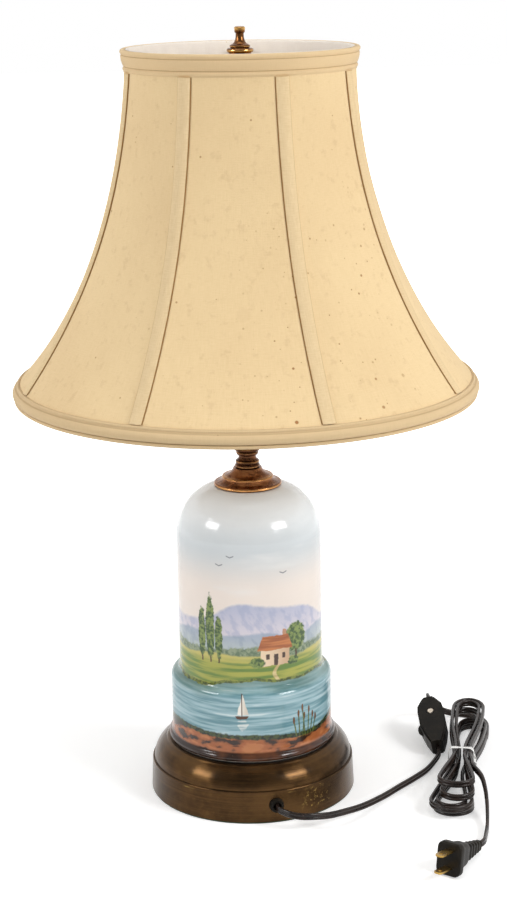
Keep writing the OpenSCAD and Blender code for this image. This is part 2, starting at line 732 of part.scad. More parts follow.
// Radius of the cloth as it lies, straight between two levels
function laid_r(z, a) = let (f = 15 * (cloth_top - z) / (cloth_top - cloth_low), i = min(14, floor(f)))
    cloth_r(cloth_levels[i], a) * (1 - f + i) + cloth_r(cloth_levels[i + 1], a) * (f - i);

module shade_panels() {
    steps = 6;
    color([0.9, 0.8, 0.6])
    ring_skin([for (k = [0:8 * steps - 1]) let (t = seam_turn - 90 + 45 * k / steps,
        a = 45 * (k % steps) / steps - 22.5, way = [cos(t), sin(t), 0])
        concat([for (z = cloth_levels) way * (cloth_r(z, a)) + [0, 0, z]],
            [for (z = flip(cloth_levels)) way * (cloth_r(z, a) - cloth_t) + [0, 0, z]])]);
}

module shade_lining() {
    lining_t = 0.6;
    levels = [for (i = [0:20]) cloth_top - 3.4 + (cloth_low - 1.5 - cloth_top + 3.4) * i / 20];
    function line_r(z) = inside_r(z, rib_off + frame_wire_r + 0.8) - 0.06 * flat_share(z) * bell_r(z);
    color([0.96, 0.95, 0.92])
    rotate_extrude()
    polygon(concat([for (z = levels) [line_r(z), z]], [for (z = flip(levels)) [line_r(z) - lining_t, z]]));
}

module seam_tapes() {
    tape_t = 0.8;
    levels = concat([collar_z - 0.2], [for (z = cloth_levels) if (z < collar_z - 2 && z > hem_top + 2) z],
        [hem_top + 0.4]);
    color([0.86, 0.74, 0.52])
    seam_places()
    skin([for (z = levels) let (r = laid_r(z, 22.5), w = asin(tape_w / 2 / r), e = laid_r(z, w - 22.5))
        [[r + tape_t, 0, z], [(e + tape_t) * cos(w), -(e + tape_t) * sin(w), z],
         [(e + 0.3) * cos(w), -(e + 0.3) * sin(w), z], [r + 0.2, 0, z],
         [(e + 0.3) * cos(w), (e + 0.3) * sin(w), z], [(e + tape_t) * cos(w), (e + tape_t) * sin(w), z]]]);
}

module collar_trim() {
    in_r = bell_r(collar_z) + 0.1;
    top = shade_z + 1.2;
    out_r = in_r + 2.2;
    color([0.9, 0.78, 0.56])
    rotate_extrude()
    polygon(concat([[in_r, collar_z]], arc([in_r + 0.8, collar_z + 1.8], 1.6, -80, 60, 6),
        [[out_r - 0.4, collar_z + 4.2], [out_r, collar_z + 9], [out_r, top - 2.6]],
        arc([out_r - 0.9, top - 1.2], 1.2, -20, 160, 8),
        [[top_wire_r - frame_wire_r - 0.1, top - 0.6], [top_wire_r - frame_wire_r - 0.1, cloth_top + 0.1],
         [in_r, cloth_top + 0.1]]));
}

module hem_trim() {
    in_r = bell_r(cloth_low) + 0.2;
    lip_r = laid_r(hem_top, 22.5) + 0.4;
    out_r = in_r + 3.2;
    color([0.86, 0.72, 0.48])
    rotate_extrude()
    polygon(concat([[bottom_wire_r - 3, cloth_low - 3], [bottom_wire_r - 3, hem_z + 1.6]],
        arc([in_r + 1, hem_z + 1.4], 1.4, -90, 40, 6),
        bend([in_r + 2.3, hem_z + 2.6], [out_r + 1.4, hem_z + 6], [in_r + 1.4, hem_z + 9.8], 8),
        arc([lip_r + 1, hem_top - 1.7], 1.5, -30, 130, 6),
        [[lip_r, hem_top - 0.4], [in_r, cloth_low], [in_r, cloth_low - 3]]));
}

module finial() {
    z = finial_z;
    neck_top = finial_h - 4.5;
    color([0.6, 0.45, 0.22])
    rotate_extrude()
    polygon(concat([[stud_r + run_gap, z], [finial_r - 1.8, z], [finial_r - 1.6, z + 2.6]],
        arc([finial_r - 1.6, z + 4.3], 1.6, -80, 85, 8),
        arc([finial_r - 3.6, z + 7.2], 1.2, -75, 80, 7),
        bend([finial_r - 3.4, z + 8.5], [3.6, z + 9.4], [3.1, z + 14], 8),
        [[3, z + neck_top - 0.6]],
        arc([3, z + neck_top + 0.7], 0.9, -70, 0, 4),
        arc([2.6, z + finial_h - 1.6], 1.6, 20, 88, 6),
        [[0, z + finial_h], [0, z + 12], [stud_r + run_gap, z + 12]]));
}

module cord_run() {
    color([0.1, 0.07, 0.05])
    skin(cord_rings(route(run_route, 3), 8));
}

module cord_link() {
    color([0.1, 0.07, 0.05])
    skin(cord_rings(route(link_route, 3), 8));
}

module cord_hank() {
    color([0.1, 0.07, 0.05])
    skin(cord_rings(hank_path, 6));
}

module cord_tail() {
    color([0.1, 0.07, 0.05])
    skin(cord_rings(route(tail_route, 3), 8));
}

// Twist tie around the waist of the hank, with its two ends twisted at the right
tie_half = (hank_out * hank_flare(hank_waist) - hank_pinch) + cord_t / 2 + 1.7;
tie_h = hank_floor + 3 * hank_layer + cord_w / 2 + 0.5;
tie_place = hank_mid + [-hank_waist * sin(hank_turn), hank_waist * cos(hank_turn), 0];

module tie_outline(d) {
    c = 3;
    polygon(concat(arc([tie_half - c, tie_h - c], c + d, 0, 90, 5), arc([c - tie_half, tie_h - c], c + d, 90, 180, 5),
        [[-tie_half - d, 0.05], [tie_half + d, 0.05]]));
}

module cord_tie() {
    tie_w = 3.4;
    tie_t = 0.9;
    color([0.92, 0.92, 0.9])
    translate(tie_place)
    rotate([0, 0, hank_turn]) {
        rotate([90, 0, 0])
        translate([0, 0, -tie_w / 2])
        linear_extrude(tie_w)
        difference() {
            tie_outline(tie_t);
            tie_outline(0);
        }
        translate([tie_half + tie_t + 0.7, 0, 1])
        rotate([14, 8, 0])
        cylinder(r = 0.9, h = 13);
        translate([tie_half + tie_t - 0.2, -1.2, 8])
        rotate([60, 0, 20])
        cylinder(r = 0.9, h = 12);
    }
}

// Switch body, long axis along local X, face along local +Z
module in_switch() {
    translate(switch_mid)
    rotate([0, 0, switch_turn])
    rotate([0, -switch_rise, 0])
    rotate([switch_roll, 0, 0])
    children();
}

module switch_outline(d) {
    l = switch_len / 2;
    w = switch_w / 2 - d;
    e = 5 - d;
    polygon([[l, -e], [l, e], [l - 9, w - 0.8], [l - 16, w], [-l + 22, w], [-l + 10, w - 2.6], [-l, e], [-l, -e],
        [-l + 10, -w + 2.6], [-l + 22, -w], [l - 16, -w], [l - 9, -w + 0.8]]);
}

module wheel_room() {
    translate([wheel_x, wheel_y, 0]) {
        translate([0, 0, -wheel_t / 2 - 0.3])
        cylinder(r = wheel_r + 0.5, h = wheel_t + 0.6);
        translate([0, 0, -wheel_t / 2 - 2.4])
        cylinder(r = wheel_pin_r + run_gap, h = wheel_t + 4.8);
    }
    translate([-19, -4.6, -1.2])
    cube([5.4, 9.2, 2.4]);
}

module switch_half() {
    deep = switch_t / 2 - 1.2;
    difference() {
        union() {
            linear_extrude(deep)
            switch_outline(0);
            translate([0, 0, deep - 0.01])
            linear_extrude(1.21)
            switch_outline(1.3);
        }
        children();
    }
}

module switch_back() {
    color([0.06, 0.06, 0.06])
    in_switch()
    mirror([0, 0, 1])
    switch_half() {
        wheel_room();
        translate([screw_x, 0, -1])
        cylinder(r = 1.5 + run_gap, h = 6);
    }
}

module switch_front() {
    color([0.06, 0.06, 0.06])
    in_switch()
    translate([0, 0, 0.02])
    switch_half() {
        wheel_room();
        translate([screw_x, 0, -1])
        cylinder(r = 1.5 + run_gap, h = 30);
        translate([screw_x, 0, switch_t / 2 - 1.4])
        cylinder(r = 3.2, h = 3);
    }
}

module switch_contacts() {
    color([0.8, 0.6, 0.3])
    in_switch()
    for (s = [-1, 1])
    translate([-16.3, s * 2.5, 0])
    cube([5, 3.6, 0.8], center = true);
}

module switch_screw() {
    color([0.75, 0.73, 0.68])
    in_switch()
    translate([screw_x, 0, 0])
    difference() {
        union() {
            translate([0, 0, -4.6])
            cylinder(r = 1.5, h = switch_t / 2 + 3.4);
            translate([0, 0, switch_t / 2 - 1.35])
            cylinder(r1 = 3.1, r2 = 2.4, h = 1.7);
        }
        translate([-4, -0.4, switch_t / 2 - 0.2])
        cube([8, 0.8, 2]);
    }
}

module switch_wheel() {
    teeth = 24;
    color([0.05, 0.05, 0.05])
    in_switch()
    translate([wheel_x, wheel_y, 0]) {
        translate([0, 0, -wheel_t / 2])
        linear_extrude(wheel_t)
        polygon([for (i = [0:2 * teeth - 1]) (wheel_r - (i % 2) * 0.6) * [cos(180 * i / teeth), sin(180 * i / teeth)]]);
        translate([0, 0, -wheel_t / 2 - 2.2])
        cylinder(r = wheel_pin_r, h = wheel_t + 4.4);
    }
}

// Plug, long axis along local X towards the blades, blades in a row along local Z
module in_plug() {
    translate(plug_face)
    rotate([0, 0, plug_turn])
    rotate([0, -plug_rise, 0])
    children();
}

function round_ring(x, w, h, c) = concat(
    [for (a = [0:30:90]) [x, w / 2 - c + c * cos(a), h / 2 - c + c * sin(a)]],
    [for (a = [90:30:180]) [x, c - w / 2 + c * cos(a), h / 2 - c + c * sin(a)]],
    [for (a = [180:30:270]) [x, c - w / 2 + c * cos(a), c - h / 2 + c * sin(a)]],
    [for (a = [270:30:360]) [x, w / 2 - c + c * cos(a), c - h / 2 + c * sin(a)]]);

module plug_body() {
    w = plug_face_w;
    h = plug_face_h;
    neck_x = -24;
    boot = [for (i = [0:9]) let (x = neck_x - (plug_len + neck_x) * i / 9, s = 1 - i / 9,
        rib = i == 9 ? 0 : (i % 2) * 1.2)
        round_ring(x, 5 + 4 * s + rib, 7.2 + 5 * s + rib, 2.3)];
    color([0.05, 0.05, 0.05])
    in_plug()
    difference() {
        skin(flip(concat([round_ring(0, w - 1.6, h - 1.6, 4.2), round_ring(-0.8, w, h, 5),
            round_ring(-5.6, w, h, 5), round_ring(-6.6, w - 1.8, h - 1.8, 4.2),
            round_ring(-8.4, w - 6, h - 3.6, 4), round_ring(-15, w - 8, h - 5.4, 3.8),
            round_ring(-20, w - 8.6, h - 7.4, 3.4), round_ring(-23, w - 10.4, h - 11.6, 2.6)], boot)));
        for (s = [-1, 1])
        translate([-5, -4, s * blade_gap / 2 - 0.85])
        cube([8, 8, 1.7]);
    }
}

module plug_blades() {
    color([0.8, 0.62, 0.32])
    in_plug()
    for (s = [-1, 1])
    translate([-4.9, 0, s * blade_gap / 2])
    difference() {
        translate([0, 0, -0.75])
        linear_extrude(1.5)
        polygon([[0, -3.2], [blade_len + 3.4, -3.2], [blade_len + 4.9, -1.8], [blade_len + 4.9, 1.8],
            [blade_len + 3.4, 3.2], [0, 3.2]]);
        translate([blade_len + 0.7, 0, -2])
        cylinder(r = 1.6, h = 4);
    }
}

base_shell();
felt_pad();
cord_bushing();
base_washer();
lock_washer();
pipe_nut();
lamp_pipe();
foot_gasket();
porcelain_body();
vase_cap();
neck();
harp_saddle();
harp();
harp_stud();
sleeve_left();
sleeve_right();
socket_cap();
set_screw();
socket_insulator();
screw_shell();
centre_contact();
terminal_screws();
socket_liner();
socket_shell();
inner_cord();
bulb_cap();
bulb_glass();
shade_frame();
shade_spider();
shade_panels();
shade_lining();
seam_tapes();
collar_trim();
hem_trim();
finial();
cord_run();
cord_link();
cord_hank();
cord_tail();
cord_tie();
switch_back();
switch_front();
switch_contacts();
switch_screw();
switch_wheel();
plug_body();
plug_blades();
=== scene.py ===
# %% [markdown]
# # A porcelain table lamp with a bell shade
# The solids of the lamp come in as a fixed frame, and this script dresses them: soft goods and
# cords are modelled again in mesh code, and every surface gets a finish made of nodes.
# Blender works in metres, and z is up from the middle of the underside of the base. Routes and
# profiles are written in millimetres, as on a drawing, and MM turns them into metres.

# %% Load the frame
import math
from math import cos, pi, radians, sin

import bmesh
import bpy
from mathutils import Matrix, Vector, noise


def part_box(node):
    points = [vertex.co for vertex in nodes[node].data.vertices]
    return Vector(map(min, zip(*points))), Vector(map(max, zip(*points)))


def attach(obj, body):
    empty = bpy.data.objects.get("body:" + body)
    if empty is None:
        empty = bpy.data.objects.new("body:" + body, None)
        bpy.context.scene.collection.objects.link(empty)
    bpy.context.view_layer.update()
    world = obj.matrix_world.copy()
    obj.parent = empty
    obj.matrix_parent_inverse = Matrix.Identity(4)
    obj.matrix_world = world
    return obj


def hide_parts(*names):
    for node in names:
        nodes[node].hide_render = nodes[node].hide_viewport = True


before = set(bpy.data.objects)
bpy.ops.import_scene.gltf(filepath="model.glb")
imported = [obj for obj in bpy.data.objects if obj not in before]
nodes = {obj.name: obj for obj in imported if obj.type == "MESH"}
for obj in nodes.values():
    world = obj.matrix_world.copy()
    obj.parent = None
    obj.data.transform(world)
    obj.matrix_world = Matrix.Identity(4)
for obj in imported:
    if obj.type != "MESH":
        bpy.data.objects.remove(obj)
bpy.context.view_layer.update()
scene = bpy.context.scene
scene.view_settings.view_transform = "Standard"
MM = 0.001

# %% [markdown]
# ## Camera
# The lamp is seen from straight in front and a little above, with a long lens. The tilt was found
# from the ovals of the rims: a circle seen from 15 degrees above is a quarter as tall as wide.
# A camera could be aimed with a constraint, but a matrix of place, tilt and roll is plain to read.

# %% Camera
CAMERA_PLACE, TILT, ROLL = (0.0049, -1.5125, 0.674), 75.29, -0.99
LENS, SENSOR = 80.7, 36


def rotation(degrees, axis):
    return Matrix.Rotation(radians(degrees), 4, axis)


camera = bpy.data.objects.new("camera", bpy.data.cameras.new("camera"))
scene.collection.objects.link(camera)
camera.data.lens, camera.data.sensor_width = LENS, SENSOR
camera.matrix_world = Matrix.Translation(CAMERA_PLACE) @ rotation(TILT, "X") @ rotation(ROLL, "Z")
scene.camera = camera
print("camera at", [round(x, 3) for x in camera.location], "lens", camera.data.lens)

# %% [markdown]
# ## Writing finishes with few words
# A finish is a material whose nodes compute colour, roughness and bump. Clicking them together is
# fine for one material, and for twenty it is shorter to write them as sums. So an output of a node
# is wrapped as a Value here: adding or multiplying Values places the Math nodes, a soft step
# places a Map Range node, and a mix goes from one colour to another. A colour is written as it
# shows on screen, from 0 to 255.

# %% Colours
def paint(red, green, blue):
    """A colour as it shows on screen, 0 to 255, turned into the linear values that shaders use."""
    def linear(c):
        c = c / 255
        return c / 12.92 if c <= 0.04045 else ((c + 0.055) / 1.055) ** 2.4
    return (linear(red), linear(green), linear(blue), 1)


print("middle grey:", [round(c, 3) for c in paint(128, 128, 128)])

# %% Values that change over a surface
def feed(socket, value):
    """Links a Value to a socket, or sets the socket to a plain number or colour."""
    if isinstance(value, Value):
        socket.id_data.links.new(value.socket, socket)
    else:
        socket.default_value = value


def calc(tree, operation, *values):
    """Places a Math node and returns its result."""
    node = tree.nodes.new("ShaderNodeMath")
    node.operation = operation
    for socket, value in zip(node.inputs, values):
        feed(socket, value)
    return Value(node.outputs[0])


def sums(operation, swapped=False):
    """A method that places a Math node for a Value and another number, in either order."""
    def place_node(self, other):
        return calc(self.tree, operation, *((other, self) if swapped else (self, other)))
    return place_node


class Value:
    """A number, place or colour that changes over the surface, kept with its node tree."""

    def __init__(self, socket):
        self.socket, self.tree = socket, socket.id_data

    __add__ = __radd__ = sums("ADD")
    __sub__, __rsub__ = sums("SUBTRACT"), sums("SUBTRACT", True)
    __mul__ = __rmul__ = sums("MULTIPLY")
    __truediv__, __rtruediv__ = sums("DIVIDE"), sums("DIVIDE", True)
    __rpow__ = sums("POWER", True)
    or_more = sums("MAXIMUM")

    def __abs__(self):
        return calc(self.tree, "ABSOLUTE", self)

    def sine(self):
        return calc(self.tree, "SINE", self)

    def step(self, low, high):
        """0 below low, 1 above high, smooth between; with low above high it falls instead."""
        node = self.tree.nodes.new("ShaderNodeMapRange")
        node.interpolation_type = "SMOOTHSTEP"
        ends = (low, high, 0, 1) if low < high else (high, low, 1, 0)
        for socket, value in zip(node.inputs[:5], (self, *ends)):
            feed(socket, value)
        return Value(node.outputs[0])

    def near(self, middle, reach, core):
        """1 within core of a middle, 0 further off than reach, smooth between."""
        return abs(self - middle).step(reach, core)

    def mix(self, first, second):
        """From the first colour to the second, as this value goes from 0 to 1."""
        node = self.tree.nodes.new("ShaderNodeMix")
        node.data_type = "RGBA"
        feed(node.inputs[0], self)
        # This node has its two colours at sockets 6 and 7, and the mixed colour at output 2.
        for number, colour in ((6, first), (7, second)):
            plain = isinstance(colour, tuple)
            feed(node.inputs[number], paint(*colour) if plain else colour)
        return Value(node.outputs[2])

    def tone(self, low, high, first, second):
        return self.step(low, high).mix(first, second)


print("sums, steps and mixes ready")

# %% Helpers for nodes
def fill(node, **inputs):
    """Feeds inputs of a node by name, with an underscore for each space in the name."""
    for key, value in inputs.items():
        feed(node.inputs[key.replace("_", " ")], value)


def outputs_of(node):
    return {socket.name: Value(socket) for socket in node.outputs}


def put(tree, kind, settings=(), **inputs):
    """Places a node and returns its outputs by name."""
    node = tree.nodes.new("ShaderNode" + kind)
    for key, value in dict(settings).items():
        setattr(node, key, value)
    fill(node, **inputs)
    return outputs_of(node)


def parts(place):
    """The x, y and z of a place."""
    return put(place.tree, "SeparateXYZ", Vector=place).values()


def grain(place, size, detail=3, rough=0.5):
    """Soft noise from 0 to 1 with lumps of about the given size in metres."""
    return put(place.tree, "TexNoise", Vector=place, Scale=1 / size, Detail=detail,
        Roughness=rough)["Fac"]


def streaks(x, y, z=0, detail=3):
    """Noise that is drawn out: each coordinate comes in with its own stretch."""
    place = put(x.tree, "CombineXYZ", X=x, Y=y, Z=z)["Vector"]
    return put(x.tree, "TexNoise", Vector=place, Scale=1, Detail=detail)["Fac"]


def new_finish(name):
    """A new material with its shader and the place of each point on the object."""
    material = bpy.data.materials.new(name)
    material.use_nodes = True
    tree = material.node_tree
    return material, tree.nodes["Principled BSDF"], put(tree, "TexCoord")["Object"]


def bump(shader, height, depth):
    """Lets the light see the surface raised, by a height times a depth in metres."""
    bumped = put(height.tree, "Bump", Height=height, Distance=depth, Strength=1)
    fill(shader, Normal=bumped["Normal"])


print("node helpers ready")

# %% [markdown]
# ## Shared effects
# Weave, old stains, tarnish and dust turn up on many pieces. Each is a node group with named
# sockets, built once, so that every finish can place it with its own values. A group puts out
# only numbers that change over the surface, and the shader itself stays in the material.

# %% Helpers for node groups
def new_group(name, results, **numbers):
    """An empty group that takes a place and named numbers, and puts out named results."""
    tree = bpy.data.node_groups.new(name, "ShaderNodeTree")
    socket = tree.interface.new_socket
    socket("Place", in_out="INPUT", socket_type="NodeSocketVector")
    for label, value in numbers.items():
        socket(label, in_out="INPUT", socket_type="NodeSocketFloat").default_value = value
    for label in results:
        socket(label, in_out="OUTPUT", socket_type="NodeSocketFloat")
    given = outputs_of(tree.nodes.new("NodeGroupInput"))
    return tree, given, tree.nodes.new("NodeGroupOutput")


def use(group, place, **inputs):
    """Places a group in a finish and returns its results by name."""
    node = place.tree.nodes.new("ShaderNodeGroup")
    node.node_tree = group
    fill(node, Place=place, **inputs)
    return outputs_of(node)


print("group helpers ready")

# %% Weave, stains, tarnish and dust
weave, given, made = new_group("weave", ["Height", "Tone"], Pitch=0.0007)
across, along, _ = parts(given["Place"])
waves = [(way * (2 * pi) / given["Pitch"]).sine() for way in (across, along)]
threads = (streaks(across * 170, along * 1500, detail=2)
    + streaks(across * 1500, along * 110, detail=2))
fill(made, Height=waves[0] * waves[1] * 0.35 + threads, Tone=threads.step(0.4, 1.6))

stains, given, made = new_group("stains", ["Mask"], Size=0.03, Share=0.2)
cells = put(stains, "TexVoronoi", Vector=given["Place"], Scale=1 / given["Size"])
luck, width, _ = put(stains, "SeparateColor", Color=cells["Color"]).values()
spot = (cells["Distance"] - width * 0.07).step(0.05, 0.0)
fill(made, Mask=(luck + given["Share"]).step(0.98, 1.0) * spot)

tarnish, given, made = new_group("tarnish", ["Cloud", "Fleck"], Size=0.02)
fine = 1 / given["Size"]
cloud = put(tarnish, "TexNoise", Vector=given["Place"], Scale=fine, Detail=5, Roughness=0.6)["Fac"]
fleck = put(tarnish, "TexNoise", Vector=given["Place"], Scale=fine * 9, Detail=3)["Fac"]
fill(made, Cloud=cloud.step(0.36, 0.66), Fleck=fleck.step(0.5, 0.72))

dust, given, made = new_group("dust", ["Mask"], Amount=0.3)
_, _, upward = parts(put(dust, "NewGeometry")["Normal"])
flour = put(dust, "TexNoise", Vector=given["Place"], Scale=420, Detail=4, Roughness=0.7)["Fac"]
fill(made, Mask=upward.step(0.2, 0.95) * flour.step(0.42, 0.75) * given["Amount"])
print("node groups:", [g.name for g in bpy.data.node_groups])

# %% [markdown]
# ## Floor and light
# The lamp stands on a plain pale floor under soft studio light: one large lamp on each side of the
# camera, one above, and a pale sky. The floor and the sky look white to the camera, to mirrors and
# to glass, while the light that reaches the lamp stays at a plain level. The room behind the camera
# is dimmer than the white backdrop, which gives metal and glaze their dark and light bands. The
# floor keeps the shadow of the lamp.

# %% Floor and sky
WHITE = (1, 1, 1, 1)


def looked_at(tree):
    """1 where the camera, a mirror or glass looks, and 1 where the camera itself does."""
    rays = put(tree, "LightPath")
    mirrored = rays["Is Glossy Ray"].or_more(rays["Is Transmission Ray"])
    return rays["Is Camera Ray"].or_more(mirrored), rays["Is Camera Ray"]


floor_mesh = bpy.data.meshes.new("floor")
floor_mesh.from_pydata([(-6, -4, 0), (6, -4, 0), (6, 8, 0), (-6, 8, 0)], [], [(0, 1, 2, 3)])
floor = bpy.data.objects.new("floor", floor_mesh)
scene.collection.objects.link(floor)
floor_white, shader, place = new_finish("floor_white")
seen, _ = looked_at(place.tree)
away = put(place.tree, "VectorMath", {"operation": "LENGTH"}, Vector=place)["Value"]
fill(shader, Base_Color=(0.86, 0.86, 0.86, 1), Roughness=0.9, Specular_IOR_Level=0.1,
    Emission_Color=WHITE, Emission_Strength=seen * (away.step(0.35, 1.6) * 0.8 + 0.4))
floor_mesh.materials.append(floor_white)

world = bpy.data.worlds.new("studio")
scene.world = world
world.use_nodes = True
tree = world.node_tree
seen, by_camera = looked_at(tree)
_, forward, _ = parts(put(tree, "TexCoord")["Generated"])
room = forward.step(0.2, -0.5) * (1 - by_camera)
both = tree.nodes.new("ShaderNodeMixShader")
feed(both.inputs[0], seen)
for socket, strength in zip(both.inputs[1:], (0.45 - room * 0.24, 1 - room * 0.62)):
    feed(socket, put(tree, "Background", Color=WHITE, Strength=strength)["Background"])
tree.links.new(both.outputs[0], tree.nodes["World Output"].inputs["Surface"])
print("floor and sky ready")

# %% Studio lamps
def soft_lamp(name, place, aim, width, height, watts):
    """A rectangular lamp at a place, shining towards its aim."""
    light = bpy.data.lights.new(name, "AREA")
    light.shape = "RECTANGLE"
    light.size, light.size_y, light.energy = width, height, watts
    lamp = bpy.data.objects.new(name, light)
    scene.collection.objects.link(lamp)
    lamp.location = place
    lamp.rotation_euler = (Vector(aim) - Vector(place)).to_track_quat("-Z", "Y").to_euler()


soft_lamp("lamp_left", (-1.435, -0.624, 1.1), (0, 0, 0.28), 0.7, 0.5, 13.5)
soft_lamp("lamp_right", (1.33, -0.9, 1.14), (0, 0, 0.28), 0.75, 0.5, 20)
soft_lamp("lamp_top", (0.0, -0.1, 2.4), (0, 0, 0.3), 1.6, 1.6, 12)
print("studio lamps:", len(bpy.data.lights))

# %% [markdown]
# ## Helpers for meshes
# Nearly every piece here is one of three shapes: a profile turned round the lamp's own axis, a
# section swept along a route, or a grid of points. Modifiers could make them too, but lists of
# points keep the same named sizes as the solids, and can carry a flat layout for the weave.

# %% Making a piece
def make_piece(name, shape, finish, body, slot, *stands_for, crease=40, outward=True):
    """Makes a piece of (points, faces) or (points, faces, layout) that stands for solids."""
    points, faces, *layout = shape
    mesh = bpy.data.meshes.new(name)
    mesh.from_pydata([tuple(p) for p in points], [], faces)
    for flat_points in layout:
        flat = mesh.uv_layers.new(name="UVMap")
        for loop in mesh.loops:
            flat.data[loop.index].uv = flat_points[loop.vertex_index]
    work = bmesh.new()
    work.from_mesh(mesh)
    if outward:
        bmesh.ops.recalc_face_normals(work, faces=work.faces)
    for face in work.faces:
        face.smooth = True
    work.to_mesh(mesh)
    work.free()
    mesh.set_sharp_from_angle(angle=radians(crease))
    mesh.materials.append(finish)
    piece = bpy.data.objects.new(name, mesh)
    scene.collection.objects.link(piece)
    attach(piece, body)
    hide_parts(*stands_for)
    return piece


# %% Grids, tubes and turned profiles
def grid_faces(rows, columns, closed=False):
    """Quads over rows of points; closed rows join their last point to their first."""
    faces = []
    for i in range(rows - 1):
        here, above = i * columns, (i + 1) * columns
        for j in range(columns if closed else columns - 1):
            k = (j + 1) % columns
            faces.append((here + j, here + k, above + k, above + j))
    return faces


def tube_faces(rings, count, first=0):
    """Faces of a tube of rings of points, with both ends closed, from point number first on."""
    last = (rings - 1) * count
    ends = [tuple(range(count)), tuple(range(last, last + count))]
    return [tuple(first + k for k in face) for face in grid_faces(rings, count, True) + ends]


def around(radius, angle, z):
    """A point in metres at a radius and height in millimetres and an angle round the axis."""
    return (radius * cos(angle) * MM, radius * sin(angle) * MM, z * MM)


def turned(profile, count):
    """Points, faces and flat layout of a closed profile of (radius, height) turned round."""
    points, layout, travel = [], [], [0]
    for a, b in zip(profile, profile[1:]):
        travel.append(travel[-1] + math.dist(a, b))
    for i in range(count + 1):
        angle = 2 * pi * (i % count) / count
        for (r, z), way in zip(profile, travel):
            points.append(around(r, angle, z))
            layout.append((2 * pi * i / count * profile[0][0] * MM, way * MM))
    return points, grid_faces(count + 1, len(profile), True), layout


def arc(middle, radius, first, last, count):
    """Points on a part of a circle, from the first to the last angle in degrees."""
    angles = [radians(first + (last - first) * i / count) for i in range(count + 1)]
    return [(middle[0] + radius * cos(a), middle[1] + radius * sin(a)) for a in angles]


print("mesh helpers ready")

# %% [markdown]
# ## Cord
# The cord is flat twin lamp flex, 5.6 by 2.8 mm: two round cores side by side with a groove between
# them. It leaves the bushing in the base, runs over the floor to the hand switch, goes on into a
# folded hank held by a white tie, and ends in the plug. A curve with a bevel would be quick, but
# would roll over at the folds, so the grooved section is swept with its width kept upright.

# %% Where the cord starts and ends
HOLE_TURN, HOLE_HEIGHT, HOLE_REACH = radians(12.8), Vector((0, 0, 14.6)), 84.1
SWITCH_HALF, PLUG_LONG = 28, 46
PLUG_TURN, PLUG_TILT, PLUG_HALF, PLUG_LIFT = 235, 9, 12.5, 0.95


def towards(turn, rise):
    """A way of length 1, from its turn on the floor and its rise, in degrees."""
    turn, rise = radians(turn), radians(rise)
    level = cos(rise)
    return Vector((cos(turn) * level, sin(turn) * level, sin(rise)))


mouth_way = Vector((sin(HOLE_TURN), -cos(HOLE_TURN), 0))
mouth = mouth_way * HOLE_REACH + HOLE_HEIGHT
switch_middle, switch_way = Vector((152, 68, 17.5)), towards(93, 18)
switch_near = switch_middle - switch_way * SWITCH_HALF
switch_far = switch_middle + switch_way * SWITCH_HALF
plug_way = towards(PLUG_TURN, PLUG_TILT)
plug_face = Vector((141, -174, PLUG_HALF * cos(radians(PLUG_TILT)) + PLUG_LIFT))
plug_tail = plug_face - plug_way * PLUG_LONG
print("cord from", [round(x) for x in mouth], "to", [round(x) for x in plug_tail], "mm")

# %% The hank
HANK_PLACE, HANK_TURN = Vector((170.5, 14, 3)), -9
HALF_RUN, WAIST = 74, -14
WIDE, NARROWED = 17, 5.75
LAYER_TURNS, LAYER_RISE = 1.25, 6.3
CLIMBS, CLIMB_TURNS = (1.12, 2.5, 3.62), 0.13
HANK_START, HANK_TURNS, HANK_POINTS = 0.02, 124 / 24, 420
NEXT = 1 / 24
PINCH, PINCH_REACH, PINCH_CORE = 9.7, 45, 6
FLARE_MIDDLE, FLARE_SHARE = 0.92, 0.14
# How far each layer, from the floor up, leans and reaches to the near and the far side.
LEAN = (-3.5, -3.9, -0.2, -0.6)
NEAR, FAR = (1, 1.09, 1.02, 0.86), (1, 0.96, 1.02, 1.06)


def ramp(s):
    """0 up to 0, 1 from 1 on, smooth between."""
    s = min(max(s, 0), 1)
    return s * s * (3 - 2 * s)


def hank_point(turns):
    """Place of the cord after some turns: four layers from the floor up, in and out by turns."""
    layer = min(len(CLIMBS), math.floor(turns / LAYER_TURNS))
    share = turns / LAYER_TURNS - layer
    wide = WIDE - NARROWED * (share if layer % 2 == 0 else 1 - share)
    quarter, on = divmod(4 * (turns - math.floor(turns)), 1)
    side = 1 if quarter < 2 else -1
    if quarter % 2 == 0:
        x, y = side * wide, side * HALF_RUN * (1 - 2 * on)
    else:
        x = side * wide * cos(pi * on)
        y = -side * (HALF_RUN + wide * sin(pi * on))
    rise = [ramp((turns - start) / CLIMB_TURNS) for start in CLIMBS]

    def by_layer(values):
        return values[0] + sum(r * (b - a) for r, a, b in zip(rise, values, values[1:]))

    past = y - WAIST
    tied = PINCH * math.exp(-(past / PINCH_REACH) ** 2)
    x = x * (FLARE_MIDDLE - FLARE_SHARE * y / HALF_RUN) - x / max(abs(x), PINCH_CORE) * tied
    x -= by_layer(LEAN) * past / HALF_RUN
    past *= by_layer(NEAR if past < 0 else FAR)
    return HANK_PLACE + rotation(HANK_TURN, "Z") @ Vector((x, WAIST + past, LAYER_RISE * sum(rise)))


hank_end = HANK_START + HANK_TURNS
hank = [hank_point(HANK_START + HANK_TURNS * i / HANK_POINTS) for i in range(HANK_POINTS + 1)]
into_hank = (hank_point(HANK_START + NEXT) - hank[0]).normalized()
out_of_hank = (hank[-1] - hank_point(hank_end - NEXT)).normalized()
print("hank: %.2f turns" % HANK_TURNS)

# %% Cord routes
STEPS, STUB, MOUTH_STUB, PLUG_STUB = 8, 8, 6, 9
PLUG_DIP = Vector((0, 0, 1.2))


